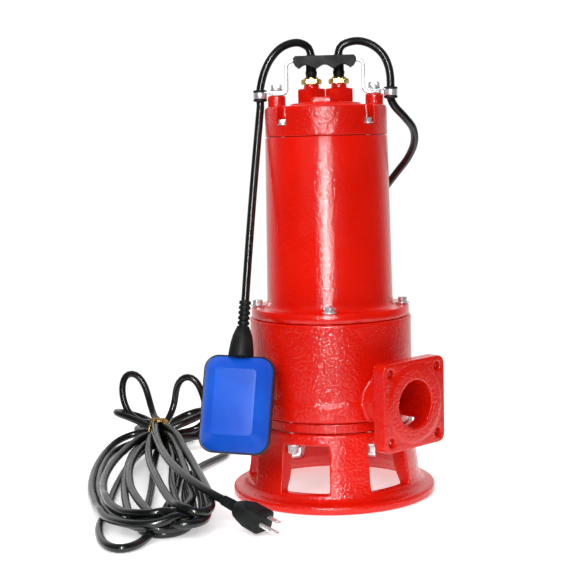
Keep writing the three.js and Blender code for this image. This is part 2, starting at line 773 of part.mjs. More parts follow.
// ---------------------------------------------------------------- cords
// Points are [right, back, up] from the pump's axis, along the handle line.
const FLOAT_CORD_ARC = [
  [-GLAND.offset, GLAND.back, GLAND.sleeveTop + GAP],
  [-GLAND.offset, GLAND.back, GLAND.sleeveTop + 4],
  [-20, 16.5, 536],
  [-30, 13, 541],
  [-41, 9, 540],
  [-53, 5, 534],
  [-64, 1, 522],
  [-71, 0, 509],
  [-74.5, 0, 496],
  [-CLIP.offset, 0, 484],
  [-CLIP.offset, 0, CLIP.height - CLIP.half - 2],
];
const POWER_CORD_ARC = [
  [GLAND.offset, GLAND.back, GLAND.sleeveTop + GAP],
  [GLAND.offset, GLAND.back, GLAND.sleeveTop + 4],
  [20, 17, 536],
  [30, 16, 540],
  [43, 13, 541],
  [58, 9, 535],
  [70, 5, 523],
  [76, 2, 508],
  [77, 0, 495],
  [CLIP.offset, 0, CLIP.height + 4],
  [CLIP.offset, 0, CLIP.height - 9],
];
const POWER_CORD_DROP = [
  [CLIP.offset, 0, CLIP.height - 8.5],
  [79, 3, 463],
  [90, 13, 449],
  [100, 29, 434],
  [101, 47, 416],
  [94, 64, 397],
  [82, 80, 378],
  [68, 96, 355],
  [50, 112, 320],
  [32, 124, 275],
  [18, 132, 220],
  [6, 138, 160],
  [-6, 146, 100],
  [-20, 157, 50],
  [-40, 172, 20],
  [-66, 188, 7],
  [-96, 200, CORD / 2],
  [-128, 206, CORD / 2],
  [-160, 203, CORD / 2],
  [-190, 193, CORD / 2],
];
const HANK = { low: 1.8, high: 31 };
const ON_HANK = HANK.high + GAP + CORD / 2;
// The two loops that stand up behind the tie, and the last stretch across the hank to the plug.
const CORD_EARS = [
  [-180, 236, ON_HANK],
  [-178, 228, 56],
  [-183, 222, 82],
  [-193, 220, 101],
  [-206, 222, 110],
  [-219, 228, 102],
  [-226, 238, 82],
  [-231, 250, 56],
  [-244, 262, ON_HANK + 2],
  [-259, 274, 52],
  [-270, 284, 76],
  [-284, 286, 98],
  [-296, 276, 106],
  [-302, 262, 94],
  [-300, 249, 70],
  [-294, 242, 50],
  [-288, 240, ON_HANK],
];
const POWER_CORD_END = [
  [-243, 186, ON_HANK],
  [-238, 130, ON_HANK],
  [-222, 55, ON_HANK],
  [-198, -28, ON_HANK],
  [-172, -88, ON_HANK],
  [-147, -131, ON_HANK + 0.5],
  [-122, -156, 30],
];

add("float_cord_arc", cordAlong(FLOAT_CORD_ARC, 8), rubber, handleLine);
const powerCordRun = join(cordAlong(POWER_CORD_ARC, 9), cordAlong(POWER_CORD_DROP, 30));
add("power_cord_run", powerCordRun, rubber, handleLine);
add("power_cord_ears", cordAlong(CORD_EARS, 20), rubber, handleLine);
add("power_cord_end", cordAlong(POWER_CORD_END, 10), rubber, handleLine);

// The free part of the float's cord bows a little before it reaches the strain relief.
function makeTether() {
  const foot = FLOAT_TOP + BOOT.long + BOOT.relief + GAP;
  const middle = (foot - TETHER_START) / 2;
  return cordAlong([[0, 0, -TETHER_START], [0, 0.5, middle / 2], [0, 1, middle], [0, 0, foot]], 8);
}
add("float_cord_tether", makeTether(), rubber, floatGroup);

// ---------------------------------------------------------------- cord hank and its tie
// The hank's outline, seen from above: long loops in front of the tie, short ones behind it.
const TIE = { right: -245, back: 215, width: 44, deep: 7, wire: 1.1 };
const HANK_OUTLINE = [
  [TIE.right - TIE.width / 2, TIE.back + 7],
  [TIE.right - TIE.width / 2, TIE.back - 7],
  [-322, 165],
  [-320, 40],
  [-287, -110],
  [-252, -258],
  [-205, -262],
  [-150, -208],
  [-146, -110],
  [-160, 60],
  [TIE.right + TIE.width / 2, TIE.back - 7],
  [TIE.right + TIE.width / 2, TIE.back + 7],
  [-150, 250],
  [-190, 300],
  [-290, 300],
];

function makeHank() {
  const corners = HANK_OUTLINE.map(([right, back]) => new THREE.Vector3(right, back, 0));
  const smooth = new THREE.CatmullRomCurve3(corners, true, "centripetal").getPoints(44);
  const outline = new THREE.Shape(smooth.slice(0, -1).map((p) => new THREE.Vector2(p.x, p.y)));
  return raised(outline, HANK.low, HANK.high);
}

function makeTie() {
  const inner = [TIE.width + 2.4, TIE.deep + 2, HANK.high - HANK.low + 2 * GAP];
  const middle = (HANK.high + HANK.low) / 2;
  const outer = box(TIE.right, TIE.back, middle, inner[0] + 2 * TIE.wire, TIE.deep, inner[2] + 2 * TIE.wire);
  return cut(outer, box(TIE.right, TIE.back, middle, ...inner));
}

add("power_cord_hank", makeHank(), rubber, handleLine);
add("cord_tie", makeTie(), tieWire, handleLine);

// ---------------------------------------------------------------- mains plug
// The plug's +X runs towards its blades. The blades lie one above the other.
const PLUG = { relief: 20, body: 42, wide: 14.5, high: 12, blade: 17, pin: 20 };
const PLUG_START = new THREE.Vector3(-122, -156, 30);
const PLUG_AIM = new THREE.Vector3(47.6, -36, -16).normalize();

function makePlugGroup() {
  const up = new THREE.Vector3(0, 0, 1);
  up.addScaledVector(PLUG_AIM, -up.dot(PLUG_AIM)).normalize();
  const left = up.clone().cross(PLUG_AIM);
  const group = new THREE.Group();
  group.setRotationFromMatrix(new THREE.Matrix4().makeBasis(PLUG_AIM, left, up));
  group.position.copy(PLUG_START).addScaledVector(PLUG_AIM, 3 * GAP);
  return group;
}

function makePlugBody() {
  const end = PLUG.relief + PLUG.body;
  const profile = [[0, 0], [5.4, 0], [6, PLUG.relief], [9.5, PLUG.relief + 4], [PLUG.wide, 38], [PLUG.wide, end]];
  profile.push([0, end]);
  return turned(profile, 24).rotate([0, 90, 0]).scale([1, 1, PLUG.high / PLUG.wide]);
}

const plugGroup = makePlugGroup();
handleLine.add(plugGroup);
const PLUG_FACE = PLUG.relief + PLUG.body + GAP;
const BLADE_SPACING = 12.7;
add("plug_body", makePlugBody(), blackPlastic, plugGroup);
[-1, 1].forEach((side, i) => {
  const middle = PLUG_FACE + PLUG.blade / 2;
  const blade = box(middle, 4, (side * BLADE_SPACING) / 2, PLUG.blade, 6.3, 1.5);
  add(`plug_blade_${i + 1}`, blade, stainless, plugGroup);
});
const groundPin = ring(2.4, 0, PLUG_FACE, PLUG_FACE + PLUG.pin, 12).rotate([0, 90, 0]);
add("plug_ground_pin", groundPin.translate([0, -7.9, 0]), stainless, plugGroup);

export default pump;
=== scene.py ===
"""A submersible sewage pump's visible pieces: castings, handle, glands, float switch, tied-up mains lead."""

import json
import math
import random

import bmesh
import bpy
import numpy as np
from mathutils import Matrix, Vector


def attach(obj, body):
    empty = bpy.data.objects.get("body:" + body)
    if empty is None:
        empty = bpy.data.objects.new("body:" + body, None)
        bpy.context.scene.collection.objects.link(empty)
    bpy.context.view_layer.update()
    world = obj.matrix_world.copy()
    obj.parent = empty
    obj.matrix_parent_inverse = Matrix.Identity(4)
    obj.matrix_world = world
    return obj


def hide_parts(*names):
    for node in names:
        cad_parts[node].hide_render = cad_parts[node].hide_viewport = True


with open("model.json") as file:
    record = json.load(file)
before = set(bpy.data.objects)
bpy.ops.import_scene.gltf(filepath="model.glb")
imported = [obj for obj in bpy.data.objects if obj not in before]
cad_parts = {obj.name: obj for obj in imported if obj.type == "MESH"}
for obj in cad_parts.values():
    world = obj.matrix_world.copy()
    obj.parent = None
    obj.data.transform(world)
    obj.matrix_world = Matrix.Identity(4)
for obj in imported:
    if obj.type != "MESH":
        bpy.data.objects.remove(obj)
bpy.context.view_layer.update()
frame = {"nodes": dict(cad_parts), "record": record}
random.seed(7)
scene = bpy.context.scene
scene.view_settings.view_transform = "Standard"

MM = 0.001
CORD = 9.6  # the leads' diameter
HEADING = math.radians(45)  # the handle, the glands and the clips stand on this line


def line_point(right, back, up):
    """A point given along the handle line, in millimetres, as a point of the row frame in metres."""
    c, s = math.cos(HEADING), math.sin(HEADING)
    return Vector(((right * c - back * s) * MM, (right * s + back * c) * MM, up * MM))


LINE = Matrix.Rotation(HEADING, 4, "Z")
GLAND = (16.5, 18)  # how far right and back of the axis each gland stands
CLIP = 77.6  # the clips' distance from the axis
POST = 58  # the handle posts' distance from the axis
OUTLET = 122  # the discharge's height
STUD_CIRCLE = (88.8, -16)  # the stand studs' radius, and the first one's angle in degrees
WINDOW_TURN = -3.5  # degrees from a post to the stand's first window


def placed(name, data):
    """A new object, linked to the scene."""
    made = bpy.data.objects.new(name, data)
    scene.collection.objects.link(made)
    return made


def add_node(tree, kind, inputs=None):
    """A shader node whose inputs, by name or number, are values or the sockets to link in."""
    node = tree.nodes.new("ShaderNode" + kind)
    for socket, value in (inputs or {}).items():
        if isinstance(value, bpy.types.NodeSocket):
            tree.links.new(value, node.inputs[socket])
        else:
            node.inputs[socket].default_value = value
    return node


# ---------------------------------------------------------------- camera and lights
def make_camera():
    data = bpy.data.cameras.new("camera")
    data.sensor_width = 36
    data.lens = 36 * 1290 / 580
    data.clip_start, data.clip_end = 0.05, 50
    camera = placed("camera", data)
    heading, pitch, roll = math.radians(137.5), math.radians(6.19), math.radians(-1.5)
    aim = Vector((math.cos(heading) * math.cos(pitch), math.sin(heading) * math.cos(pitch), -math.sin(pitch)))
    turn = aim.to_track_quat("-Z", "Y").to_matrix().to_4x4() @ Matrix.Rotation(roll, 4, "Z")
    camera.matrix_world = Matrix.Translation((1.1104, -1.0826, 0.414)) @ turn
    scene.camera = camera


def area_light(name, place, target, size, energy, mirrored):
    """A soft rectangular light. A mirrored one shows only in reflections, any other only as diffuse light."""
    data = bpy.data.lights.new(name, "AREA")
    data.shape = "RECTANGLE"
    data.size, data.size_y = size
    data.energy = energy
    light = placed(name, data)
    light.location = place
    light.rotation_euler = (Vector(target) - Vector(place)).to_track_quat("-Z", "Y").to_euler()
    light.visible_glossy = mirrored
    light.visible_diffuse = not mirrored


make_camera()


# ---------------------------------------------------------------- materials
class Surface:
    """A Principled material whose colour, roughness and bump come from noise in the object's own space."""

    def __init__(self, name, metallic=0.0, coat=0.0, coat_roughness=0.1, specular=0.5):
        self.material = bpy.data.materials.new(name)
        self.material.use_nodes = True
        self.tree = self.material.node_tree
        self.shader = self.tree.nodes["Principled BSDF"]
        self.shader.inputs["Metallic"].default_value = metallic
        self.shader.inputs["Coat Weight"].default_value = coat
        self.shader.inputs["Coat Roughness"].default_value = coat_roughness
        self.shader.inputs["Specular IOR Level"].default_value = specular
        self.where = add_node(self.tree, "TexCoord").outputs["Object"]
        self.bumped = None

    def noise(self, scale, detail=2.0, roughness=0.5, stretch=None):
        where = self.where
        if stretch:
            where = add_node(self.tree, "Mapping", {"Scale": stretch, "Vector": where}).outputs["Vector"]
        inputs = {"Scale": scale, "Detail": detail, "Roughness": roughness, "Vector": where}
        return add_node(self.tree, "TexNoise", inputs).outputs["Fac"]

    def cells(self, scale):
        node = add_node(self.tree, "TexVoronoi", {"Scale": scale, "Vector": self.where})
        node.feature = "SMOOTH_F1"
        return node.outputs["Distance"]

    def ramp(self, value, stops):
        node = add_node(self.tree, "ValToRGB", {"Fac": value})
        points = node.color_ramp.elements
        while len(points) < len(stops):
            points.new(0.5)
        for point, (position, colour) in zip(points, stops):
            point.position = position
            point.color = (*colour, 1)
        return node.outputs["Color"]

    def mix(self, a, b, share):
        node = self.tree.nodes.new("ShaderNodeMix")
        node.data_type = "RGBA"
        for socket, value in ((node.inputs["Factor"], share), (node.inputs[6], a), (node.inputs[7], b)):
            if isinstance(value, bpy.types.NodeSocket):
                self.tree.links.new(value, socket)
            else:
                socket.default_value = value
        return node.outputs[2]

    def colour(self, value):
        self.tree.links.new(value, self.shader.inputs["Base Color"])

    def roughness(self, value, low, high):
        inputs = {"From Min": 0.3, "From Max": 0.7, "To Min": low, "To Max": high, "Value": value}
        node = add_node(self.tree, "MapRange", inputs)
        self.tree.links.new(node.outputs["Result"], self.shader.inputs["Roughness"])

    def bump(self, value, depth, strength=1.0):
        node = add_node(self.tree, "Bump", {"Distance": depth, "Strength": strength, "Height": value})
        if self.bumped:
            self.tree.links.new(self.bumped, node.inputs["Normal"])
        self.bumped = node.outputs["Normal"]
        self.tree.links.new(self.bumped, self.shader.inputs["Normal"])
        if self.shader.inputs["Coat Weight"].default_value > 0:
            self.tree.links.new(self.bumped, self.shader.inputs["Coat Normal"])


def red_enamel():
    """Thick glossy enamel sprayed over a sand casting: orange peel, slow lumps, and patches of painted shade
    in the red of the shaded sides.
    """
    s = Surface("red_enamel", coat=0.2, coat_roughness=0.05, specular=0.36)
    slow = s.ramp(s.noise(9, 3), [(0.35, (0.66, 0.0062, 0.0010)), (0.65, (0.76, 0.0085, 0.0016))])
    # Painted shade: noise patches pull the colour up to 35% towards the darker red of the shaded sides.
    painted_shade_patches = s.ramp(s.noise(35, 5, 0.65), [(0.60, (0, 0, 0)), (0.78, (1, 1, 1))])
    s.colour(s.mix(slow, (0.47, 0.0045, 0.0012, 1), s.mix((0, 0, 0, 1), painted_shade_patches, 0.35)))
    s.roughness(s.noise(55, 4), 0.12, 0.22)
    s.bump(s.noise(38, 3, 0.55), 0.0010, 0.45)
    s.bump(s.noise(300, 2, 0.55), 0.0011, 0.85)
    s.bump(s.noise(1100, 2, 0.6), 0.00012, 0.5)
    return s.material


def red_machined():
    """The same enamel, thinner and smoother, on turned faces."""
    s = Surface("red_enamel_smooth", coat=0.2, coat_roughness=0.05, specular=0.36)
    s.colour(s.ramp(s.noise(12, 3), [(0.35, (0.67, 0.0062, 0.0010)), (0.65, (0.76, 0.0080, 0.0014))]))
    s.roughness(s.noise(60, 4), 0.10, 0.18)
    s.bump(s.noise(14, 2), 0.0012, 0.14)
    s.bump(s.noise(320, 2, 0.55), 0.0006, 0.8)
    return s.material


def bright_steel():
    """Rolled and turned stainless steel: fine marks along it, soft cloudy patches."""
    s = Surface("bright_steel", metallic=0.72)
    s.colour(s.ramp(s.noise(160, 4), [(0.3, (0.66, 0.66, 0.67)), (0.7, (0.88, 0.88, 0.88))]))
    s.roughness(s.noise(420, 3, 0.6, stretch=(1, 1, 0.15)), 0.2, 0.42)
    s.bump(s.noise(900, 2, stretch=(1, 1, 0.1)), 0.00006, 0.35)
    return s.material


def ground_steel():
    s = Surface("ground_steel", metallic=1.0)
    s.colour(s.ramp(s.noise(200, 4), [(0.3, (0.30, 0.31, 0.33)), (0.7, (0.46, 0.47, 0.49))]))
    s.roughness(s.noise(500, 3, 0.6, stretch=(1, 1, 0.1)), 0.22, 0.42)
    s.bump(s.noise(1200, 2, stretch=(1, 1, 0.06)), 0.00005, 0.4)
    return s.material


def yellow_brass():
    s = Surface("yellow_brass", metallic=1.0)
    stops = [(0.3, (0.50, 0.30, 0.07)), (0.55, (0.72, 0.50, 0.16)), (0.75, (0.80, 0.60, 0.26))]
    s.colour(s.ramp(s.noise(240, 4), stops))
    s.roughness(s.noise(300, 3), 0.18, 0.36)
    s.bump(s.noise(1000, 2), 0.00005, 0.4)
    return s.material


def lead_rubber():
    """A lead's black sheath: slightly glossy, faintly wavy, with dull rubbed patches and a bluish bloom."""
    s = Surface("lead_rubber", specular=0.5)
    s.colour(s.ramp(s.noise(45, 4), [(0.35, (0.0045, 0.0055, 0.0052)), (0.68, (0.0125, 0.0145, 0.0138))]))
    s.roughness(s.noise(70, 4), 0.16, 0.28)
    s.bump(s.noise(120, 2), 0.0002, 0.25)
    s.bump(s.noise(1500, 2), 0.00002, 0.3)
    return s.material


def moulded_rubber():
    s = Surface("moulded_rubber", specular=0.16)
    s.colour(s.ramp(s.noise(60, 4), [(0.35, (0.006, 0.0075, 0.007)), (0.7, (0.016, 0.019, 0.018))]))
    s.roughness(s.noise(90, 4), 0.42, 0.62)
    s.bump(s.noise(1800, 2), 0.00012, 0.5)
    return s.material


def black_plastic():
    s = Surface("black_plastic", specular=0.5)
    s.colour(s.ramp(s.noise(50, 4), [(0.35, (0.010, 0.011, 0.012)), (0.7, (0.024, 0.026, 0.027))]))
    s.roughness(s.noise(120, 3), 0.30, 0.45)
    s.bump(s.cells(1500), 0.0001, 0.3)
    return s.material


def blue_plastic():
    """Satin moulded polypropylene with the fine spark-eroded grain of its mould."""
    s = Surface("blue_plastic", specular=0.2)
    s.colour(s.ramp(s.noise(25, 3), [(0.3, (0.005, 0.080, 0.58)), (0.7, (0.009, 0.110, 0.68))]))
    s.roughness(s.noise(140, 3), 0.28, 0.4)
    s.bump(s.cells(1300), 0.00012, 0.35)
    s.bump(s.noise(30, 2), 0.0006, 0.15)
    return s.material


def grey_plastic():
    s = Surface("grey_plastic")
    s.colour(s.ramp(s.noise(80, 3), [(0.3, (0.26, 0.27, 0.28)), (0.7, (0.36, 0.37, 0.38))]))
    s.roughness(s.noise(120, 3), 0.35, 0.5)
    s.bump(s.noise(900, 2), 0.0001, 0.3)
    return s.material


def primed_iron():
    s = Surface("primed_iron", metallic=0.35)
    s.colour(s.ramp(s.noise(60, 5), [(0.3, (0.030, 0.030, 0.032)), (0.7, (0.075, 0.073, 0.072))]))
    s.roughness(s.noise(90, 4), 0.5, 0.75)
    s.bump(s.noise(420, 4, 0.6), 0.0004, 0.6)
    return s.material


def laminations():
    s = Surface("laminations", metallic=0.8)
    s.colour(s.ramp(s.noise(30, 3), [(0.3, (0.10, 0.11, 0.13)), (0.7, (0.19, 0.20, 0.22))]))
    s.roughness(s.noise(150, 3), 0.35, 0.6)
    s.bump(s.noise(700, 1, stretch=(0.02, 0.02, 1)), 0.0003, 0.8)
    return s.material


def copper_wire():
    s = Surface("copper_wire", metallic=0.8)
    s.colour(s.ramp(s.noise(260, 3), [(0.3, (0.30, 0.085, 0.025)), (0.7, (0.55, 0.20, 0.07))]))
    s.roughness(s.noise(300, 3), 0.25, 0.45)
    s.bump(s.noise(520, 2, stretch=(1, 1, 0.2)), 0.0006, 0.8)
    return s.material


LOOKS = {
    "red_paint": red_enamel(),
    "cast_iron": primed_iron(),
    "stainless": bright_steel(),
    "carbon_steel": ground_steel(),
    "electrical_steel": laminations(),
    "copper": copper_wire(),
    "brass": yellow_brass(),
    "black_rubber": lead_rubber(),
    "blue_plastic": blue_plastic(),
    "black_plastic": black_plastic(),
    "grey_plastic": grey_plastic(),
    "tie_wire": yellow_brass(),
}
SMOOTH_RED = red_machined()
MOULDED = moulded_rubber()

for part in frame["record"]["subparts"]:
    node = frame["nodes"][part["node"]]
    node.data.materials.clear()
    inner = LOOKS["carbon_steel"] if part["node"] == "cutter" else LOOKS[part["material_slot"]]
    node.data.materials.append(inner)


# ---------------------------------------------------------------- mesh tools, in millimetres
def mesh_object(name, vertices, faces):
    mesh = bpy.data.meshes.new(name)
    mesh.from_pydata([Vector(v) * MM for v in vertices], [], faces)
    work = bmesh.new()
    work.from_mesh(mesh)
    bmesh.ops.remove_doubles(work, verts=work.verts, dist=1e-6)
    bmesh.ops.recalc_face_normals(work, faces=work.faces)
    work.to_mesh(mesh)
    work.free()
    return placed(name, mesh)


def rounded(points, radius, steps=4, closed=True):
    """An outline whose corners are arcs. Short sides get smaller arcs."""
    result = []
    count = len(points)
    for i, point in enumerate(points):
        p = Vector(point)
        if not closed and i in (0, count - 1):
            result.append(tuple(p))
            continue
        before, after = Vector(points[i - 1]), Vector(points[(i + 1) % count])
        a, b = before - p, after - p
        if a.length < 1e-6 or b.length < 1e-6:
            continue
        angle = a.angle(b)
        if angle > math.radians(172) or angle < math.radians(8):
            result.append(tuple(p))
            continue
        reach = min(radius / math.tan(angle / 2), 0.45 * a.length, 0.45 * b.length)
        start, end = p + a.normalized() * reach, p + b.normalized() * reach
        for k in range(steps + 1):
            t = k / steps
            result.append(tuple(start * (1 - t) ** 2 + p * 2 * t * (1 - t) + end * t ** 2))
    return result


def lathe(name, profile, steps=128, closed=True, radius=0.0):
    """A closed profile of (radius, height) turned about Z. An open one runs from axis to axis."""
    if radius:
        profile = rounded(profile, radius, closed=closed)
    vertices, faces, rings = [], [], []
    for r, z in profile:
        if r < 1e-6:
            rings.append([len(vertices)])
            vertices.append((0, 0, z))
            continue
        first = len(vertices)
        rings.append(list(range(first, first + steps)))
        for k in range(steps):
            a = 2 * math.pi * k / steps
            vertices.append((r * math.cos(a), r * math.sin(a), z))
    pairs = list(zip(rings, rings[1:]))
    if closed:
        pairs.append((rings[-1], rings[0]))
    for low, high in pairs:
        for k in range(steps):
            n = (k + 1) % steps
            if len(low) > 1 and len(high) > 1:
                faces.append((low[k], low[n], high[n], high[k]))
            elif len(high) > 1:
                faces.append((low[0], high[n], high[k]))
            elif len(low) > 1:
                faces.append((low[k], low[n], high[0]))
    return mesh_object(name, vertices, faces)


def rod(name, radius, low, high, steps):
    """A plain upright cylinder, for holes, shanks and shapes to cut with."""
    return lathe(name, [(0, low), (radius, low), (radius, high), (0, high)], steps, closed=False)


def loft(name, rings):
    """Skins rings of equal count, and closes both ends."""
    count = len(rings[0])
    vertices = [v for ring in rings for v in ring]
    faces = []
    for j in range(len(rings) - 1):
        for k in range(count):
            n = (k + 1) % count
            a, b = j * count, (j + 1) * count
            faces.append((a + k, a + n, b + n, b + k))
    faces.append(tuple(reversed(range(count))))
    faces.append(tuple(range((len(rings) - 1) * count, len(rings) * count)))
    return mesh_object(name, vertices, faces)


def prism(name, outline, low, high):
    return loft(name, [[(x, y, z) for x, y in outline] for z in (low, high)])


def around(radius, degrees):
    return radius * math.cos(math.radians(degrees)), radius * math.sin(math.radians(degrees))


def hexagon(across, turn=0.0):
    return [around(across / math.sqrt(3), 60 * k + turn) for k in range(6)]


def rounded_box(wide, tall, corner, steps=8):
    """The outline of a rectangle with round corners."""
    result = []
    x, y = wide / 2 - corner, tall / 2 - corner
    for cx, cy, start in ((x, y, 0), (-x, y, 90), (-x, -y, 180), (x, -y, 270)):
        for k in range(steps + 1):
            a = math.radians(start + 90 * k / steps)
            result.append((cx + corner * math.cos(a), cy + corner * math.sin(a)))
    return result


def moved(obj, matrix):
    obj.data.transform(matrix)
    return obj


def shifted(obj, x, y, z):
    return moved(obj, Matrix.Translation((x * MM, y * MM, z * MM)))


def turned(obj, degrees):
    return moved(obj, Matrix.Rotation(math.radians(degrees), 4, "Z"))


def on_line(obj, right, back=0.0):
    """Moves a piece along the handle line, and across it."""
    return moved(shifted(obj, right, back, 0), LINE)


def joined(name, parts):
    """One object from several, each kept as its own closed body."""
    work = bmesh.new()
    for part in parts:
        work.from_mesh(part.data)
        bpy.data.objects.remove(part)
    mesh = bpy.data.meshes.new(name)
    work.to_mesh(mesh)
    work.free()
    return placed(name, mesh)


def settled(obj):
    """Applies the object's modifiers."""
    bpy.context.view_layer.update()
    graph = bpy.context.evaluated_depsgraph_get()
    mesh = bpy.data.meshes.new_from_object(obj.evaluated_get(graph))
    obj.modifiers.clear()
    obj.data = mesh
    return obj


def combined(obj, others, operation):
    for other in others:
        step = obj.modifiers.new("combine", "BOOLEAN")
        step.operation = operation
        step.solver = "EXACT"
        step.object = other
    settled(obj)
    for other in others:
        bpy.data.objects.remove(other)
    return obj


def bevelled(obj, width, segments=3, angle=35):
    step = obj.modifiers.new("edges", "BEVEL")
    step.width = width * MM
    step.segments = segments
    step.limit_method = "ANGLE"
    step.angle_limit = math.radians(angle)
    return settled(obj)


def cast(obj, voxel, smoothing):
    """Melts sharp edges and inner corners as a sand casting has them."""
    step = obj.modifiers.new("grain", "REMESH")
    step.mode = "VOXEL"
    step.voxel_size = voxel * MM
    step = obj.modifiers.new("soften", "SMOOTH")
    step.factor = 0.5
    step.iterations = smoothing
    return settled(obj)


def dressed(obj, slot, *nodes, body="pump", look=None, angle=40):
    """Gives a finished piece its material, from its slot unless a look is given, smooth shading and its body,
    and hides the CAD nodes that it stands for.
    """
    obj.data.materials.clear()
    obj.data.materials.append(look or LOOKS[slot])
    obj.data.set_sharp_from_angle(angle=math.radians(angle))
    obj.data.polygons.foreach_set("use_smooth", [True] * len(obj.data.polygons))
    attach(obj, body)
    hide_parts(*nodes)
    return obj


# ---------------------------------------------------------------- cords
# Routes are (right, back, up) along the handle line, in millimetres, as in the solids.
def smooth_route(points, step):
    """Evenly spaced points on a centripetal Catmull-Rom curve through the given ones."""
    p = np.array(points, float)
    p = np.vstack([2 * p[0] - p[1], p, 2 * p[-1] - p[-2]])
    dense = []
    for a, b, c, d in zip(p, p[1:], p[2:], p[3:]):
        t1 = max(np.linalg.norm(b - a), 1e-6) ** 0.5
        t2 = t1 + max(np.linalg.norm(c - b), 1e-6) ** 0.5
        t3 = t2 + max(np.linalg.norm(d - c), 1e-6) ** 0.5
        for t in np.linspace(t1, t2, 40, endpoint=False):
            a1 = (t1 - t) / t1 * a + t / t1 * b
            a2 = (t2 - t) / (t2 - t1) * b + (t - t1) / (t2 - t1) * c
            a3 = (t3 - t) / (t3 - t2) * c + (t - t2) / (t3 - t2) * d
            b1 = (t2 - t) / t2 * a1 + t / t2 * a2
            b2 = (t3 - t) / (t3 - t1) * a2 + (t - t1) / (t3 - t1) * a3
            dense.append((t2 - t) / (t2 - t1) * b1 + (t - t1) / (t2 - t1) * b2)
    dense.append(p[-2])
    dense = np.array(dense)
    along = np.concatenate([[0], np.cumsum(np.linalg.norm(np.diff(dense, axis=0), axis=1))])
    stations = np.linspace(0, along[-1], max(int(round(along[-1] / step)), 2) + 1)
    return np.stack([np.interp(stations, along, dense[:, k]) for k in range(3)], axis=1)


def route_length(route):
    return float(np.linalg.norm(np.diff(route, axis=0), axis=1).sum()) * MM


def cord_curve(name, places, sizes=None):
    """A lead through points in metres. Sizes below 1 thin it at a point."""
    data = bpy.data.curves.new(name, "CURVE")
    data.dimensions = "3D"
    data.bevel_depth = CORD / 2 * MM
    data.bevel_resolution = 4
    data.use_fill_caps = True
    spline = data.splines.new("POLY")
    spline.points.add(len(places) - 1)
    for point, place, size in zip(spline.points, places, sizes or [1.0] * len(places)):
        point.co = (*place, 1)
        point.radius = size
    spline.use_smooth = True
    data.materials.append(LOOKS["black_rubber"])
    return placed(name, data)


FLOAT_ARC = [
    (-16.5, 18, 524), (-16.8, 17.8, 529), (-20, 16.5, 536), (-30, 13, 541), (-41, 9, 540), (-53, 5, 534),
    (-64, 1, 522), (-71, 0, 509), (-75.3, 0, 496), (-77.6, 0, 484), (-77.6, 0, 475), (-77.6, 0, 466),
]
POWER_RUN = [
    (16.5, 18, 524), (16.8, 18, 529), (20, 17, 536), (30, 16, 540.5), (43, 13, 541), (58, 9, 535),
    (70, 5, 523), (76, 2, 508), (77.6, 0, 495), (77.6, 0, 483), (77.6, 0, 472), (82, 4, 463), (94, 13, 450),
    (105, 29, 436), (107, 47, 419), (100, 64, 401), (86, 80, 382), (70, 96, 360), (50, 112, 320),
    (32, 124, 275), (18, 132, 220), (6, 138, 160), (-6, 146, 100), (-20, 157, 50), (-40, 172, 20),
    (-66, 188, 7), (-96, 200, 4.3), (-128, 206, 4.3),
]
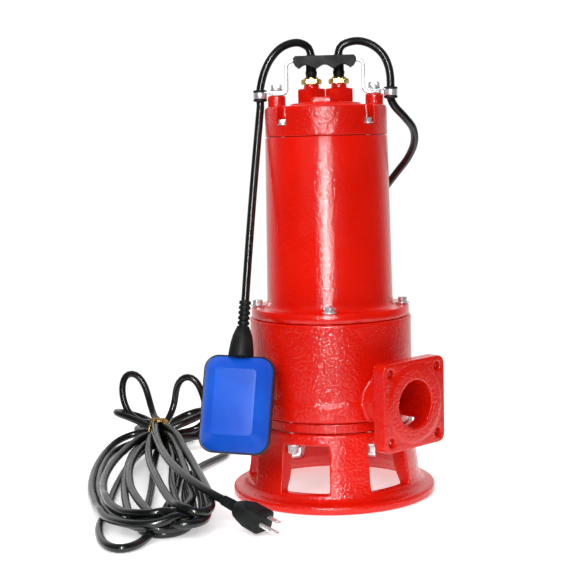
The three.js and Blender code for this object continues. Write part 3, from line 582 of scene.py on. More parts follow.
# The tied turns. Long ones, out to a front bight, alternate with short ones, round a rear bight by the tie.
TIE_AT = (-245, 215)
TURNS = [
    [
        (-150, 196, 4.3), (-147, 165, 5), (-160, 130, 6), (-176, 90, 6), (-184, 30, 6), (-180, -40, 6),
        (-170, -105, 6), (-158, -155, 6), (-162, -190, 6), (-184, -203, 6), (-206, -196, 6),
        (-214, -165, 6), (-216, -100, 6), (-224, -10, 6), (-236, 90, 7), (-243, 170, 9),
    ],
    [
        (-246, 215, 6), (-246, 250, 6), (-240, 282, 5), (-222, 296, 5), (-206, 284, 5), (-206, 258, 7),
        (-222, 236, 9),
    ],
    [
        (-238, 215, 7), (-258, 184, 10), (-268, 120, 9), (-270, 20, 6), (-262, -110, 5), (-258, -175, 5),
        (-240, -236, 4.6), (-222, -253, 4.6), (-206, -240, 5), (-196, -205, 8), (-190, -150, 14),
        (-188, -60, 15), (-196, 50, 14), (-214, 140, 13), (-234, 190, 14),
    ],
    [
        (-251, 215, 15), (-264, 244, 14), (-268, 266, 12), (-258, 282, 12), (-240, 280, 14),
        (-232, 262, 16), (-234, 240, 16),
    ],
    [
        (-242, 215, 15), (-262, 213, 17), (-286, 206, 12), (-303, 176, 8), (-305, 104, 6), (-290, -10, 6),
        (-267, -94, 9), (-244, -162, 14), (-218, -196, 16), (-186, -206, 16), (-158, -196, 16),
        (-146, -170, 15), (-150, -110, 14), (-164, -30, 14), (-180, 60, 15), (-204, 140, 17),
        (-230, 190, 19),
    ],
    [
        (-246, 215, 23), (-262, 232, 22), (-281, 250, 20), (-288, 272, 20), (-276, 290, 20),
        (-257, 288, 20), (-248, 268, 22), (-246, 242, 24),
    ],
    [
        (-250, 215, 24), (-266, 224, 25), (-284, 226, 22), (-303, 214, 16), (-313.5, 176, 9),
        (-314, 104, 6), (-298, -12, 6), (-275, -94, 9), (-250, -166, 14), (-230, -198, 18),
        (-206, -216, 20), (-176, -212, 20), (-156, -188, 20), (-158, -140, 22), (-172, -60, 22),
        (-190, 40, 22), (-214, 130, 22), (-234, 188, 22),
    ],
    [
        (-240, 215, 15), (-232, 240, 16), (-218, 262, 16), (-196, 266, 16), (-180, 250, 16),
        (-182, 228, 17), (-202, 212, 19), (-222, 204, 21),
    ],
    [
        (-238, 200, 24), (-250, 168, 26), (-257, 108, 26), (-256, 25, 24), (-244, -50, 22),
        (-226, -110, 21), (-201, -170, 20), (-176, -204, 19), (-152, -210, 18), (-139, -190, 17),
        (-140, -150, 18), (-150, -90, 20), (-168, 0, 22), (-196, 100, 24), (-224, 176, 26),
    ],
    [
        (-240, 215, 32), (-232, 232, 44), (-226, 240, 62), (-223, 236, 84), (-215, 228, 101),
        (-203, 223, 108), (-192, 221, 100), (-185, 222, 82), (-181, 228, 58), (-184, 236, 34),
        (-198, 236, 22), (-220, 222, 24),
    ],
    [
        (-236, 205, 24), (-226, 172, 26), (-214, 120, 25), (-204, 40, 23), (-194, -40, 21),
        (-182, -110, 20), (-170, -160, 19), (-172, -196, 18), (-196, -206, 17), (-218, -186, 16),
        (-234, -130, 16), (-250, -50, 17), (-262, 40, 19), (-266, 120, 21), (-258, 180, 24),
    ],
    [
        (-246, 215, 26), (-238, 244, 30), (-222, 266, 36), (-200, 272, 44), (-182, 258, 48),
        (-184, 236, 46), (-204, 222, 40), (-222, 214, 34),
    ],
    [
        (-238, 212, 28), (-252, 186, 30), (-268, 150, 28), (-282, 90, 22), (-284, 10, 18),
        (-272, -70, 18), (-252, -136, 20), (-226, -180, 22), (-196, -198, 24), (-170, -186, 24),
        (-158, -150, 24), (-166, -90, 25), (-184, 0, 26), (-206, 100, 28), (-228, 176, 30),
    ],
    [
        (-246, 216, 32), (-258, 240, 34), (-276, 260, 38), (-298, 264, 44), (-312, 250, 50),
        (-308, 230, 52), (-290, 218, 48), (-266, 212, 40),
    ],
    [
        (-240, 205, 32), (-248, 170, 33), (-243, 100, 33), (-230, 20, 32), (-212, -50, 31),
        (-192, -118, 29), (-172, -172, 27), (-160, -193, 25), (-143, -196, 24), (-134, -180, 24),
        (-137, -142, 25), (-148, -92, 27), (-166, -20, 29), (-190, 70, 31), (-220, 160, 33),
    ],
    [
        (-246, 215, 34), (-256, 238, 42), (-264, 256, 60), (-272, 268, 84), (-284, 272, 102),
        (-296, 264, 106), (-302, 252, 92), (-300, 242, 68), (-290, 234, 46), (-272, 226, 36),
    ],
]
CORD_END = [
    (-250, 208, 38), (-246, 178, 42), (-238, 130, 42), (-222, 60, 41), (-198, -20, 40), (-172, -84, 39),
    (-147, -128, 36), (-131.5, -149, 33), (-121, -156.8, 29.7),
]
GROUND = CORD / 2 + 0.1


def settle_cord(route, held, rounds):
    """Pushes strands that overlap apart, towards one diameter. Some overlap stays."""
    p = route.copy()
    home = route.copy()
    count = len(p)
    near = np.abs(np.subtract.outer(np.arange(count), np.arange(count))) < 5
    free = ~held
    for _ in range(rounds):
        difference = p[:, None, :] - p[None, :, :]
        distance = np.sqrt((difference ** 2).sum(-1)) + 1e-6
        touching = (distance < CORD) & ~near
        push = np.where(touching, (CORD - distance) / distance, 0.0)[..., None] * difference
        crowd = np.maximum(touching.sum(1), 1)[:, None]
        step = push.sum(1) / crowd * 0.5
        p[free] += step[free]
        middle = (p[:-2] + p[2:]) / 2
        inner = free[1:-1]
        p[1:-1][inner] += 0.18 * (middle - p[1:-1])[inner]
        p[free, :2] += 0.06 * (home - p)[free, :2]
        p[free, 2] += 0.03 * (home - p)[free, 2]
        p[free, 2] = np.maximum(p[free, 2], GROUND)
    return p


def make_power_cord():
    run = smooth_route(POWER_RUN, 5)
    points = [POWER_RUN[-1]] + [p for turn in TURNS for p in turn] + CORD_END
    tied = smooth_route(points, 7)
    held = np.zeros(len(tied), bool)
    held[:3] = True
    held[-8:] = True
    tied = settle_cord(tied, held, 70)
    route = np.vstack([run, tied[1:]])
    return cord_curve("power_lead", [line_point(*p) for p in route]), route_length(route)


def make_float_arc():
    route = smooth_route(FLOAT_ARC, 4)
    return cord_curve("float_lead_arc", [line_point(*p) for p in route]), route_length(route)


power_lead, power_length = make_power_cord()
float_lead, float_lead_length = make_float_arc()


# ---------------------------------------------------------------- stand and suction plate
def wedge(name, inner, outer, angle, width, low, high):
    """A sector round the pump's axis."""
    start, end = angle - width / 2, angle + width / 2
    arc = [around(outer, start + width * k / 10) for k in range(11)]
    return prism(name, arc + [around(inner, end), around(inner, start)], low, high)


def stud_place(k):
    radius, first = STUD_CIRCLE
    return around(radius, 60 * k + first)


def make_stand():
    profile = [
        (110, 0), (121.8, 0), (123, 1.6), (123, 8.5), (121, 10.2), (111, 11.6), (107, 14.5), (104, 28),
        (99.5, 62), (97.3, 80), (97, 87), (81, 87), (81, 76), (82.5, 50), (84, 38), (92, 19), (103, 7),
        (108.5, 2.5),
    ]
    body = lathe("stand_body", profile, steps=160)
    windows = [wedge("window", 60, 140, 60 * k + WINDOW_TURN, 33, 18.6, 74) for k in range(6)]
    combined(body, windows, "DIFFERENCE")
    cast(body, 1.25, 7)
    holes = []
    for k in range(6):
        x, y = stud_place(k)
        spot = shifted(rod("spot", 7.9, 66, 74.6, 32), x, y, 0)
        holes.append(spot)
    combined(body, holes, "DIFFERENCE")
    body.name = "stand_casting"
    return dressed(body, "red_paint", "stand", angle=45)


def make_suction_plate():
    profile = [(40, 83), (52, 83), (54, 87.6), (92.2, 87.6), (93, 88.5), (93, 98.5), (92.2, 99.4), (40, 99.4)]
    plate = lathe("suction_plate_casting", profile, steps=120, radius=0.8)
    return dressed(plate, "red_paint", "suction_plate")


def hex_nut(name, across, low, high, crown=0.9):
    """A nut or bolt head with its corners turned off."""
    head = prism(name, hexagon(across), low, high)
    r = across / math.sqrt(3)
    cone = [
        (0, low - 1), (r * 0.9, low - 1), (r * 1.02, low + crown), (r * 1.02, high - crown),
        (r * 0.84, high), (0, high),
    ]
    combined(head, [lathe("cone", cone, steps=48, closed=False)], "INTERSECT")
    return bevelled(head, 0.25, 2)


def washer(radius, low, high, steps, edge=(0.3, 0.4)):
    """A washer whose lower edge is chamfered by (out, up)."""
    wide, foot = radius + edge[0], low + edge[1]
    return lathe("washer", [(0, low), (radius, low), (wide, foot), (wide, high), (0, high)], steps, False)


def spun(obj):
    """Turns a fastener by chance, up to one radian."""
    return moved(obj, Matrix.Rotation(random.uniform(0, 1), 4, "Z"))


def thread(name, radius, low, high, pitch=1.25, steps=28):
    """A screw thread's flank rings, on a rod."""
    profile = [(0, low)]
    count = max(int((high - low) / pitch), 1)
    step = (high - low) / count
    for k in range(count):
        z = low + k * step
        root = radius - 0.55
        profile += [(root, z + 0.01), (radius, z + 0.35 * step)]
        profile += [(radius, z + 0.6 * step), (root, z + 0.97 * step)]
    profile += [(radius - 0.8, high), (0, high)]
    return lathe(name, profile, steps=steps, closed=False)


def make_stand_studs():
    for k in range(6):
        x, y = stud_place(k)
        nut = spun(hex_nut("nut", 12.5, 63.5, 72.0))
        ring = washer(7.3, 71.9, 73.5, 40, (0.2, 0.4))
        screw = thread("rod", 4, 61, 72)
        tip = thread("tip", 4, 99, 103.4)
        shank = rod("shank", 3.8, 72, 99.4, 24)
        stud = shifted(joined(f"stand_stud_set_{k + 1}", [nut, ring, screw, tip, shank]), x, y, 0)
        dressed(stud, "stainless", f"stand_stud_{k + 1}")


# ---------------------------------------------------------------- volute and discharge
def along_discharge(obj):
    """Turns a piece made upwards from z = 0 so that it points out of the discharge."""
    return shifted(moved(obj, Matrix.Rotation(math.pi / 2, 4, "Y")), 0, 0, OUTLET)


def make_volute():
    ring = lathe("ring", [
        (52, 100.3), (96.5, 100.3), (98.6, 102), (98.6, 120.5), (97, 123.5), (97, 205), (97.2, 213.5),
        (96.4, 214.6), (80, 214.6), (80, 172), (76, 172), (76, 106), (52, 106),
    ], steps=160)
    neck = along_discharge(lathe("neck", [
        (0, 70), (38, 70), (38, 96), (36.5, 104), (37, 110), (41, 115), (47, 118.4), (47, 124), (0, 124),
    ], steps=96, closed=False))
    web = shifted(prism("web", rounded_box(30, 60, 6, 3), 100.4, 112), 106, 0, 0)
    plate = along_discharge(prism("plate", rounded_box(102, 102, 9.5, 10), 117.6, 135.6))
    raised = [(0, 130), (43.4, 130), (43.4, 136.6), (42.8, 137), (0, 137)]
    face = along_discharge(lathe("face", raised, 96, False))
    below = rod("below", 150, 60, 100.35, 24)
    chamber = [(0, 95), (52, 95), (52, 106), (76, 106), (76, 172), (80, 172), (80, 230), (0, 230)]
    clear = lathe("clear", chamber, 96, False)
    combined(neck, [below], "DIFFERENCE")
    combined(ring, [neck, web], "UNION")
    combined(ring, [clear], "DIFFERENCE")
    combined(ring, [plate, face], "UNION")
    bore = along_discharge(rod("bore", 27.6, 60, 150, 72))
    guard = rod("guard", 95, 60, 106.3, 72)
    combined(bore, [guard], "DIFFERENCE")
    combined(ring, [bore], "DIFFERENCE")
    dimples = []
    for side in (-1, 1):
        for level in (-1, 1):
            pit = lathe("pit", [(0, 128), (4.2, 128), (5.2, 134.4), (7, 136.4), (0, 136.4)], 32, False)
            dimples.append(shifted(along_discharge(pit), 0, 39 * side, 39 * level))
    combined(ring, dimples, "DIFFERENCE")
    cast(ring, 1.3, 6)
    ring.name = "volute_casting"
    return dressed(ring, "red_paint", "volute", angle=50)


# ---------------------------------------------------------------- motor housing
def make_housing():
    profile = [
        (81.2, 215.2), (94.2, 215.2), (95, 216), (95, 225.2), (93.9, 226.6), (80.3, 226.9), (78, 228.3),
        (76.3, 232), (75.7, 237), (72.9, 428.2), (72.3, 429), (65, 429), (65, 232), (62, 226), (60, 217),
    ]
    housing = lathe("motor_casing", profile, steps=192)
    return dressed(housing, "red_paint", "motor_housing", look=SMOOTH_RED, angle=50)


def make_register():
    """Bolts of the motor flange: hexagon head over a washer."""
    for k in range(4):
        x, y = around(87.5, 45 + 90 * k)
        ring = washer(8.1, 227.3, 228.7, 40)
        head = spun(hex_nut("head", 10.4, 228.6, 234.6))
        shank = rod("shank", 3, 203, 229, 20)
        bolt = shifted(joined(f"flange_bolt_set_{k + 1}", [ring, head, shank]), x, y, 0)
        dressed(bolt, "stainless", f"flange_bolt_{k + 1}")


# ---------------------------------------------------------------- top cover
def make_cover():
    body = lathe("cover", [
        (0, 429.4), (72.2, 429.4), (72.6, 430.0), (72.6, 460.5), (71.8, 463.3), (69, 465), (44, 465),
        (41.8, 466.4), (41.4, 468.4), (0, 468.6),
    ], steps=160, closed=False)
    bosses = [on_line(rod("boss", 10.6, 455, 478, 48), POST * side) for side in (-1, 1)]
    front = on_line(prism("front", rounded_box(25, 18, 3.5, 5), 462, 475.3), -4, -12)
    pad = on_line(prism("pad", rounded_box(70, 36, 12, 8), 462, 468.8), 0, 16)
    combined(body, bosses + [front, pad], "UNION")
    cavity = lathe("cavity", [(28, 425), (55.8, 425), (55.8, 456.6), (28, 456.6)], steps=96)
    pockets = []
    for k in range(4):
        outline = [(90, -7.6), (90, 7.6)]
        for degrees in range(90, 271, 12):
            x, y = around(7.6, degrees)
            outline.append((66.5 + x, y))
        pockets.append(turned(prism("pocket", outline, 442.4, 490), 90 * k))
    combined(body, [cavity] + pockets, "DIFFERENCE")
    cast(body, 1.0, 7)
    holes = [on_line(rod("hole", 8, 440, 500, 32), side * GLAND[0], GLAND[1]) for side in (-1, 1)]
    combined(body, holes, "DIFFERENCE")
    boss = lathe("bearing_boss", [
        (12, 428), (20.4, 428), (20.4, 405), (28, 405), (28, 441), (27, 457.5), (12, 457.5), (12, 440),
    ], steps=48)
    body = joined("top_cover_casting", [body, boss])
    return dressed(body, "red_paint", "top_cover", angle=50)


def make_cover_bolts():
    for k in range(4):
        x, y = around(68.9, 90 * k)
        ring = washer(6.5, 442.8, 444, 36, (0.2, 0.3))
        head = spun(hex_nut("head", 8.6, 443.9, 449.2))
        shank = rod("shank", 2.4, 423, 444, 16)
        bolt = shifted(joined(f"cover_bolt_set_{k + 1}", [ring, head, shank]), x, y, 0)
        dressed(bolt, "stainless", f"cover_bolt_{k + 1}")


# ---------------------------------------------------------------- handle
def ribbon(name, line, thick, width):
    """A flat bar along an X-Z line, with its width along Y."""
    outline = []
    for sign in (-1, 1):
        side = []
        for i, point in enumerate(line):
            before, after = Vector(line[max(i - 1, 0)]), Vector(line[min(i + 1, len(line) - 1)])
            along = (after - before).normalized()
            side.append((point[0] - along.y * sign * thick / 2, point[1] + along.x * sign * thick / 2))
        outline += side if sign < 0 else side[::-1]
    return upright(name, outline, width)


def upright(name, outline, depth):
    return loft(name, [[(x, y, z) for x, z in outline] for y in (-depth / 2, depth / 2)])


def make_strap():
    foot, top, leg = 480.05, 518.5, 45.5
    corners = [(-66, foot), (-leg, foot), (-leg, top), (leg, top), (leg, foot), (66, foot)]
    line = rounded(corners, 7.5, 8, closed=False)
    strap = ribbon("strap", line, 3.5, 18)
    bevelled(strap, 0.55, 2, 40)
    holes = [shifted(rod("hole", 3.6, 470, 490, 32), side * POST, 0, 0) for side in (-1, 1)]
    combined(strap, holes, "DIFFERENCE")
    strap.name = "handle_bar"
    return dressed(moved(strap, LINE), "stainless", "handle_strap", angle=50)


def make_grip():
    outline = [(-37.6, 517.5), (-34.8, 512.6), (-31, 510.3)]
    for centre in (-22, 0, 22):
        for k in range(13):
            share = k / 12
            x = centre - 9.6 + 19.2 * share
            outline.append((x, 509.6 + 4.6 * math.sin(math.pi * share) ** 1.2))
    outline += [(31, 510.3), (34.8, 512.6), (37.6, 517.5), (37.0, 521.5), (34.5, 524)]
    outline += [(-34.5, 524), (-37.0, 521.5)]
    grip = upright("grip", outline, 22)
    bevelled(grip, 2.6, 4, 60)
    slot = prism("slot", [(-50, -9.3), (50, -9.3), (50, 9.3), (-50, 9.3)], 516.45, 520.55)
    combined(grip, [slot], "DIFFERENCE")
    grip.name = "handle_grip_moulding"
    return dressed(moved(grip, LINE), "black_rubber", "handle_grip", look=MOULDED, angle=35)


def make_clips():
    for name, sign in (("left", -1), ("right", 1)):
        hoop = [(6.9, 475.6), (7.8, 475.6), (8.1, 476.1), (8.1, 482.2), (7.8, 482.7), (6.9, 482.7)]
        band = lathe("band", hoop, 56)
        tail = bevelled(prism("tail", rounded_box(24, 12, 3, 5), 482.1, 483.3), 0.25, 2)
        shifted(tail, -sign * 18.5, 0, 0)
        step = shifted(prism("step", rounded_box(8, 11, 1, 3), 482.1, 483.4), -sign * 9, 0, 0)
        hole = rod("hole", 3.6, 460, 500, 24)
        combined(tail, [shifted(hole, -sign * 19.6, 0, 0)], "DIFFERENCE")
        band = joined(f"clip_ring_{name}", [band, tail, step])
        dressed(on_line(band, sign * CLIP), "stainless", f"clip_band_{name}")
        bush = lathe(f"clip_grommet_{name}", [
            (4.9, 471.8), (7.2, 472.2), (8.3, 473.2), (8.3, 474.8), (6.7, 475.4), (6.7, 482.8), (8.3, 483.3),
            (8.3, 484.6), (7.2, 485.6), (4.9, 486),
        ], 48)
        dressed(on_line(bush, sign * CLIP), "black_rubber", f"clip_bush_{name}", look=MOULDED)
        head = hex_nut("head", 11.5, 485.6, 491.6)
        ring = washer(6.9, 484, 485.7, 40)
        shank = rod("shank", 3.1, 468, 486, 20)
        screw = joined(f"handle_screw_set_{name}", [head, ring, shank])
        dressed(on_line(screw, sign * POST), "stainless", f"handle_screw_{name}")


# ---------------------------------------------------------------- cable glands
def make_glands():
    for name, sign in (("left", -1), ("right", 1)):
        spot = (sign * GLAND[0], GLAND[1])
        base = prism("base", hexagon(32.4, 30), 468.8, 486)
        cone = lathe("cone", [(0, 460), (18.9, 460), (18.9, 483.5), (16.6, 486), (0, 486)], 64, False)
        combined(base, [cone], "INTERSECT")
        shoulder = [(0, 476), (11, 476), (11, 486.4), (9.4, 487.4), (9.2, 491.1), (0, 491.1)]
        neck = lathe("neck", shoulder, 64, False)
        spigot = rod("spigot", 7.7, 458, 470, 40)
        bore = rod("bore", 6.7, 450, 500, 40)
        combined(base, [neck, spigot], "UNION")
        combined(base, [bore], "DIFFERENCE")
        bevelled(base, 0.7, 3, 35)
        base.name = f"gland_casting_{name}"
        dressed(on_line(base, *spot), "red_paint", f"gland_body_{name}", angle=45)
        nut = hex_nut("nut", 21.4, 491.6, 498, 1.4)
        lip = lathe("lip", [(0, 497), (8.6, 497), (8.6, 499.2), (8.1, 499.8), (0, 499.8)], 48, False)
        combined(nut, [lip], "UNION")
        combined(nut, [rod("bore", 6.7, 450, 520, 40)], "DIFFERENCE")
        nut.name = f"gland_brass_{name}"
        dressed(on_line(nut, *spot), "brass", f"gland_nut_{name}", angle=35)
        sleeve = lathe(f"gland_gaiter_{name}", [
            (0, 460), (6.4, 460), (6.5, 503), (7.0, 504), (7.0, 506.5), (6.4, 507.5), (6.3, 515), (6.1, 522),
            (5.6, 526), (5.1, 527), (0, 527),
        ], 48, False)
        dressed(on_line(sleeve, *spot), "black_rubber", f"gland_sleeve_{name}", look=MOULDED)


# ---------------------------------------------------------------- float switch
HANG = Vector((-CLIP, 0, 466))
FLOAT_AT = Vector((-108, -97, 125))
DROP = (HANG - FLOAT_AT).length
FLOAT_TOP = -DROP + 56


def float_matrix():
    up = (HANG - FLOAT_AT).normalized()
    back = Vector((math.sin(math.radians(8)), math.cos(math.radians(8)), 0))
    back = (back - up * back.dot(up)).normalized()
    across = back.cross(up)
    turn = Matrix((across, back, up)).transposed().to_4x4()
    return LINE @ Matrix.Translation(HANG * MM) @ turn


HANGING = float_matrix()


def float_rings(stations):
    """Rounded rectangles through the float's depth: (y, width, height, corner, height above the middle)."""
    rings = []
    for y, wide, tall, corner, lift in stations:
        rings.append([(x, y, z - DROP + lift) for x, z in rounded_box(wide, tall, corner, 10)])
    return rings


def make_float():
    front = loft("front", float_rings([
        (-1.7, 76, 106, 15, 0), (-1.9, 78.6, 108.6, 16, 0), (-4.0, 79.4, 109.4, 16.4, 0),
        (-5.2, 78.4, 108.4, 16, 0), (-7.0, 76.4, 106.2, 15.6, 0), (-9.5, 73.6, 102.4, 14.8, 0.2),
        (-13.5, 67, 95, 12.5, 0.7), (-17.5, 59, 86.6, 9.5, 1.3), (-20.0, 52.5, 80.4, 7.2, 1.8),
        (-21.3, 49.6, 77.4, 6, 2), (-21.9, 48.2, 75.8, 5.5, 2), (-22, 47, 74.6, 5, 2),
    ]))
    dressed(moved(front, HANGING), "blue_plastic", "float_front_shell", body="float", angle=32)
    front.name = "float_face"
    back = loft("back", float_rings([
        (-4.2, 79.9, 109.9, 16.4, 0), (-4.6, 81.2, 111.2, 16.8, 0), (-4.2, 82.6, 112.6, 17.2, 0),
        (3.4, 83, 113, 17.4, 0), (4.4, 82, 112, 17, 0), (8, 76, 106, 15, 0), (14, 66, 96, 12, 0),
        (19.6, 54, 86, 8.5, 0), (21.6, 48, 80, 6, 0), (22, 45, 77, 5, 0),
    ]))
    hollow = loft("hollow", float_rings([
        (-6, 77.2, 107.2, 15, 0), (-0.8, 77.2, 107.2, 15, 0), (0, 76, 106, 14, 0),
    ]))
    combined(back, [hollow], "DIFFERENCE")
    back.name = "float_back"
    dressed(moved(back, HANGING), "black_plastic", "float_rear_shell", body="float", angle=32)
    foot = FLOAT_TOP - 1
    neck = FLOAT_TOP + 35
    profile = [
        (0, foot), (14.2, foot), (14.9, foot + 1), (14.4, FLOAT_TOP + 6), (13.2, FLOAT_TOP + 16),
        (11.4, FLOAT_TOP + 24), (9.2, FLOAT_TOP + 30), (7.0, neck),
    ]
    for i in range(5):
        low = neck + 6 * i
        profile += [(5.3, low + 0.6), (5.3, low + 2.0), (6.9, low + 2.4), (6.9, low + 5.0), (6.3, low + 5.6)]
    profile += [(5.2, neck + 30), (0, neck + 30)]
    boot = lathe("float_gaiter", profile, 56, False)
    dressed(moved(boot, HANGING), "black_rubber", "float_boot", look=MOULDED, body="float", angle=30)


def make_tether():
    """The float's own cord, from the clip into the boot: slightly bowed, with a round end at the clip."""
    end = FLOAT_TOP + 62
    stations = [(4.6, 0.25), (4.1, 0.52), (3.0, 0.78), (1.5, 0.95)] + [(end * k / 48, 1.0) for k in range(49)]
    places = []
    for up, _ in stations:
        bow = 0.9 * math.sin(math.pi * max(up / end, 0))
        places.append(HANGING @ (Vector((-bow, bow * 0.4, up)) * MM))
    length = sum((b - a).length for a, b in zip(places, places[1:]))
    return cord_curve("float_lead_tether", places, [size for _, size in stations]), length


# ---------------------------------------------------------------- tie and plug
def tube(name, points, radius, sides=10):
    """A closed skin round a line of points."""
    rings = []
    line = [Vector(p) for p in points]
    side = None
    for i, p in enumerate(line):
        along = (line[min(i + 1, len(line) - 1)] - line[max(i - 1, 0)]).normalized()
        if side is None:
            side = along.orthogonal().normalized()
        side = (side - along * side.dot(along)).normalized()
        up = along.cross(side)
        rings.append([
            tuple(p + radius * (math.cos(a) * side + math.sin(a) * up))
            for a in (2 * math.pi * k / sides for k in range(sides))
        ])
    return loft(name, rings)


def make_tie():
    """A foil-covered wire wound several times round the top strands, with its twisted ends sticking out."""
    parts = []
    left, back = TIE_AT[0] + 1, TIE_AT[1]
    for lap in range(6):
        shift = 2.9 * (lap - 2.5)
        loop = []
        for k in range(33):
            a = math.radians(-100 + 360 * k / 32)
            x = 11.5 * math.copysign(abs(math.cos(a)) ** 0.7, math.cos(a))
            z = 12.5 * math.copysign(abs(math.sin(a)) ** 0.7, math.sin(a))
            tilt = 0.18 * x + 0.5 * math.sin(3 * a + 2 * lap)
            loop.append((left + x, back - 15 + shift + tilt, 34 + z + 0.4 * math.sin(2.3 * lap)))
        parts.append(tube("lap", loop, 1.9))
    for side in (-1, 1):
        twist = []
        for k in range(33):
            share = k / 32
            a = math.radians(720 * share) + (math.pi if side > 0 else 0)
            x = left + 1.6 * math.cos(a) - 4 * share
            y = back - 21 - 10 * share + 1.4 * math.sin(a)
            twist.append((x, y, 48.5 + 2 * share + 1.2 * math.sin(a)))
        last = Vector(twist[-1])
        twist += [tuple(last + Vector((side * 1.3 * k, -1.4 * k, 0.4 * k))) for k in range(1, 5)]
        parts.append(tube("end", twist, 1.25))
    tie = moved(joined("cord_tie_wire", parts), LINE)
    return dressed(tie, "tie_wire", "cord_tie", angle=60)


def plug_matrix():
    aim = Vector((47.6, -36, -16)).normalized()
    up = Vector((0, 0, 1))
    up = (up - aim * up.dot(aim)).normalized()
    left = up.cross(aim)
    turn = Matrix((aim, left, up)).transposed().to_4x4()
    return LINE @ Matrix.Translation((Vector((-122, -156, 30)) + aim * 0.9) * MM) @ turn


PLUG = plug_matrix()


def squircle(wide, high, power, count=40):
    result = []
    for k in range(count):
        a = 2 * math.pi * k / count
        c, s = math.cos(a), math.sin(a)
        across, up = (math.copysign(abs(v) ** (2 / power), v) for v in (c, s))
        result.append((wide * across, high * up))
    return result


def make_plug():
    # along, half width, half height and squareness: strain-relief ribs, shoulder, swelling body, flat face
    stations = [(0, 4.9, 4.9, 2)]
    for k in range(4):
        low = 0.6 + 4.9 * k
        stations += [
            (low, 6.1 + 0.2 * k, 5.9 + 0.1 * k, 2), (low + 2.6, 6.3 + 0.2 * k, 6.0 + 0.1 * k, 2),
            (low + 3.0, 5.0 + 0.2 * k, 4.9 + 0.1 * k, 2), (low + 4.6, 5.0 + 0.2 * k, 4.9 + 0.1 * k, 2),
        ]
    stations += [
        (20.4, 6.6, 6.2, 2.2), (21.2, 8.6, 8.0, 3.0), (23, 9.6, 8.6, 3.6), (30, 11.8, 9.8, 4.4),
        (38, 13.6, 11.0, 5.0), (41, 14.2, 11.4, 5.4), (43, 14.3, 11.5, 5.6), (60.4, 14.4, 11.6, 5.6),
        (61.5, 14.0, 11.2, 5.6), (62, 13.2, 10.4, 5.6),
    ]
    rings = [[(x, y, z) for y, z in squircle(wide, high, power)] for x, wide, high, power in stations]
    body = loft("body", rings)
    panel = []
    for sign in (-1, 1):
        outline = [(29, 0), (39, -8.6), (56, -8.6), (56, 8.6), (39, 8.6)]
        low, high = (9.4, 12.9) if sign > 0 else (-12.9, -9.4)
        raised = prism("panel", rounded(outline, 1.5, 3), low, high)
        bevelled(raised, 0.5, 2, 40)
        panel.append(raised)
    body = joined("plug_moulding", [body] + panel)
    dressed(moved(body, PLUG), "black_plastic", "plug_body", look=MOULDED, angle=32)
    for k, side in enumerate((-1, 1)):
        outline = rounded([(62.3, -3.15), (79.3, -3.15), (79.3, 3.15), (62.3, 3.15)], 1.6, 4)
        blade = prism("blade", outline, -0.75, 0.75)
        hole = shifted(rod("hole", 1.6, -3, 3, 24), 75.5, 0, 0)
        combined(blade, [hole], "DIFFERENCE")
        bevelled(blade, 0.3, 2, 40)
        shifted(blade, 0, 4, side * 6.35)
        blade.name = f"plug_tine_{k + 1}"
        dressed(moved(blade, PLUG), "stainless", f"plug_blade_{k + 1}")
    round_end = [(0, 62.3), (2.4, 62.3), (2.4, 79.8), (2.0, 81.3), (1.1, 82.2), (0, 82.3)]
    pin = lathe("plug_pin", round_end, 32, False)
    moved(pin, Matrix.Rotation(math.pi / 2, 4, "Y"))
    shifted(pin, 0, -7.9, 0)
    dressed(moved(pin, PLUG), "stainless", "plug_ground_pin")


make_stand()
make_suction_plate()
make_stand_studs()
make_volute()
make_housing()
make_register()
make_cover()
make_cover_bolts()
make_strap()
make_grip()
make_clips()
make_glands()
make_float()
tether, tether_length = make_tether()
make_tie()
make_plug()


for obj, body, nodes in (
    (power_lead, "pump", ["power_cord_run", "power_cord_hank", "power_cord_ears", "power_cord_end"]),
    (float_lead, "pump", ["float_cord_arc"]),
    (tether, "float", ["float_cord_tether"]),
):
    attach(obj, body)
    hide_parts(*nodes)


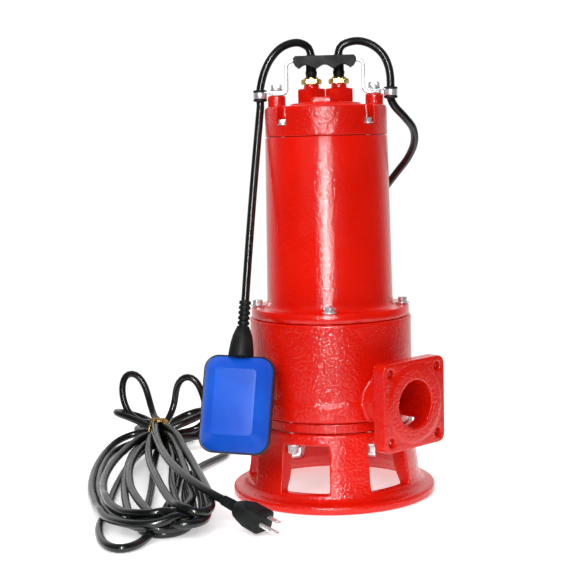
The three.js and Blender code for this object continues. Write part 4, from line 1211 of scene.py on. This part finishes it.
# ---------------------------------------------------------------- light and floor
def make_world():
    """White to the camera, an even room for soft light, and white only behind the object in reflections."""
    world = bpy.data.worlds.new("studio")
    world.use_nodes = True
    scene.world = world
    tree = world.node_tree
    tree.nodes.clear()
    output = add_node(tree, "OutputWorld")
    white = (1, 1, 1, 1)
    seen = add_node(tree, "Background", {"Color": white, "Strength": 1.05})
    room = add_node(tree, "Background", {"Color": white, "Strength": 0.40})
    where = add_node(tree, "TexCoord").outputs["Generated"]
    heading = (0, 0, math.radians(-137.5))
    turned_round = add_node(tree, "Mapping", {"Rotation": heading, "Vector": where})
    split = add_node(tree, "SeparateXYZ", {"Vector": turned_round.outputs["Vector"]})
    inputs = {"From Min": -1, "From Max": 1, "Value": split.outputs["X"]}
    spread = add_node(tree, "MapRange", inputs)
    ramp = add_node(tree, "ValToRGB", {"Fac": spread.outputs["Result"]})
    points = ramp.color_ramp.elements
    points[0].position, points[0].color = 0.40, (0.02, 0.02, 0.02, 1)
    points[1].position, points[1].color = 0.86, (0.95, 0.95, 0.95, 1)
    points.new(0.66).color = (0.16, 0.16, 0.165, 1)
    mirrored = add_node(tree, "Background", {"Color": ramp.outputs["Color"], "Strength": 0.9})
    path = add_node(tree, "LightPath")

    def choose(test, no, yes):
        return add_node(tree, "MixShader", {"Fac": path.outputs[test], 1: no, 2: yes}).outputs["Shader"]

    inside = choose("Is Glossy Ray", room.outputs["Background"], mirrored.outputs["Background"])
    tree.links.new(choose("Is Camera Ray", inside, seen.outputs["Background"]), output.inputs["Surface"])


def make_floor():
    """A pale floor that fades into the white room a little way behind the object."""
    surface = Surface("pale_floor", specular=0.2)
    greys = [(0.3, (0.95, 0.95, 0.95)), (0.7, (0.97, 0.97, 0.97))]
    surface.colour(surface.ramp(surface.noise(2.5, 3), greys))
    surface.roughness(surface.noise(40, 3), 0.55, 0.7)
    surface.bump(surface.noise(500, 2), 0.0002, 0.2)
    surface.shader.inputs["Emission Color"].default_value = (1, 1, 1, 1)
    surface.shader.inputs["Emission Strength"].default_value = 0.45
    tree = surface.tree
    far = add_node(tree, "VectorMath", {0: surface.where})
    far.operation = "LENGTH"
    fade = add_node(tree, "MapRange", {"From Min": 0.42, "From Max": 0.80, "Value": far.outputs["Value"]})
    shaders = {1: surface.shader.outputs["BSDF"], 2: add_node(tree, "BsdfTransparent").outputs["BSDF"]}
    mix = add_node(tree, "MixShader", {"Fac": fade.outputs["Result"], **shaders})
    tree.links.new(mix.outputs["Shader"], tree.nodes["Material Output"].inputs["Surface"])
    mesh = bpy.data.meshes.new("floor")
    mesh.from_pydata([(-3, -3, 0), (3, -3, 0), (3, 3, 0), (-3, 3, 0)], [], [(0, 1, 2, 3)])
    floor = placed("floor", mesh)
    floor.location.z = -0.0002
    floor.data.materials.append(surface.material)


make_world()
make_floor()
area_light("front_strip", (1.00, -1.14, 0.75), (0, 0, 0.28), (0.09, 1.3), 34, mirrored=True)
area_light("key", (0.4, -1.9, 1.5), (0, 0, 0.22), (1.4, 1.2), 24, mirrored=False)
area_light("fill", (1.6, -1.1, 1.2), (0, 0, 0.22), (1.2, 1.2), 11, mirrored=False)
area_light("top", (0.0, 0.0, 2.2), (0, 0, 0.2), (1.6, 1.6), 16, mirrored=False)
area_light("rear", (-1.1, 1.2, 0.6), (0, 0, 0.05), (1.2, 0.8), 14, mirrored=False)
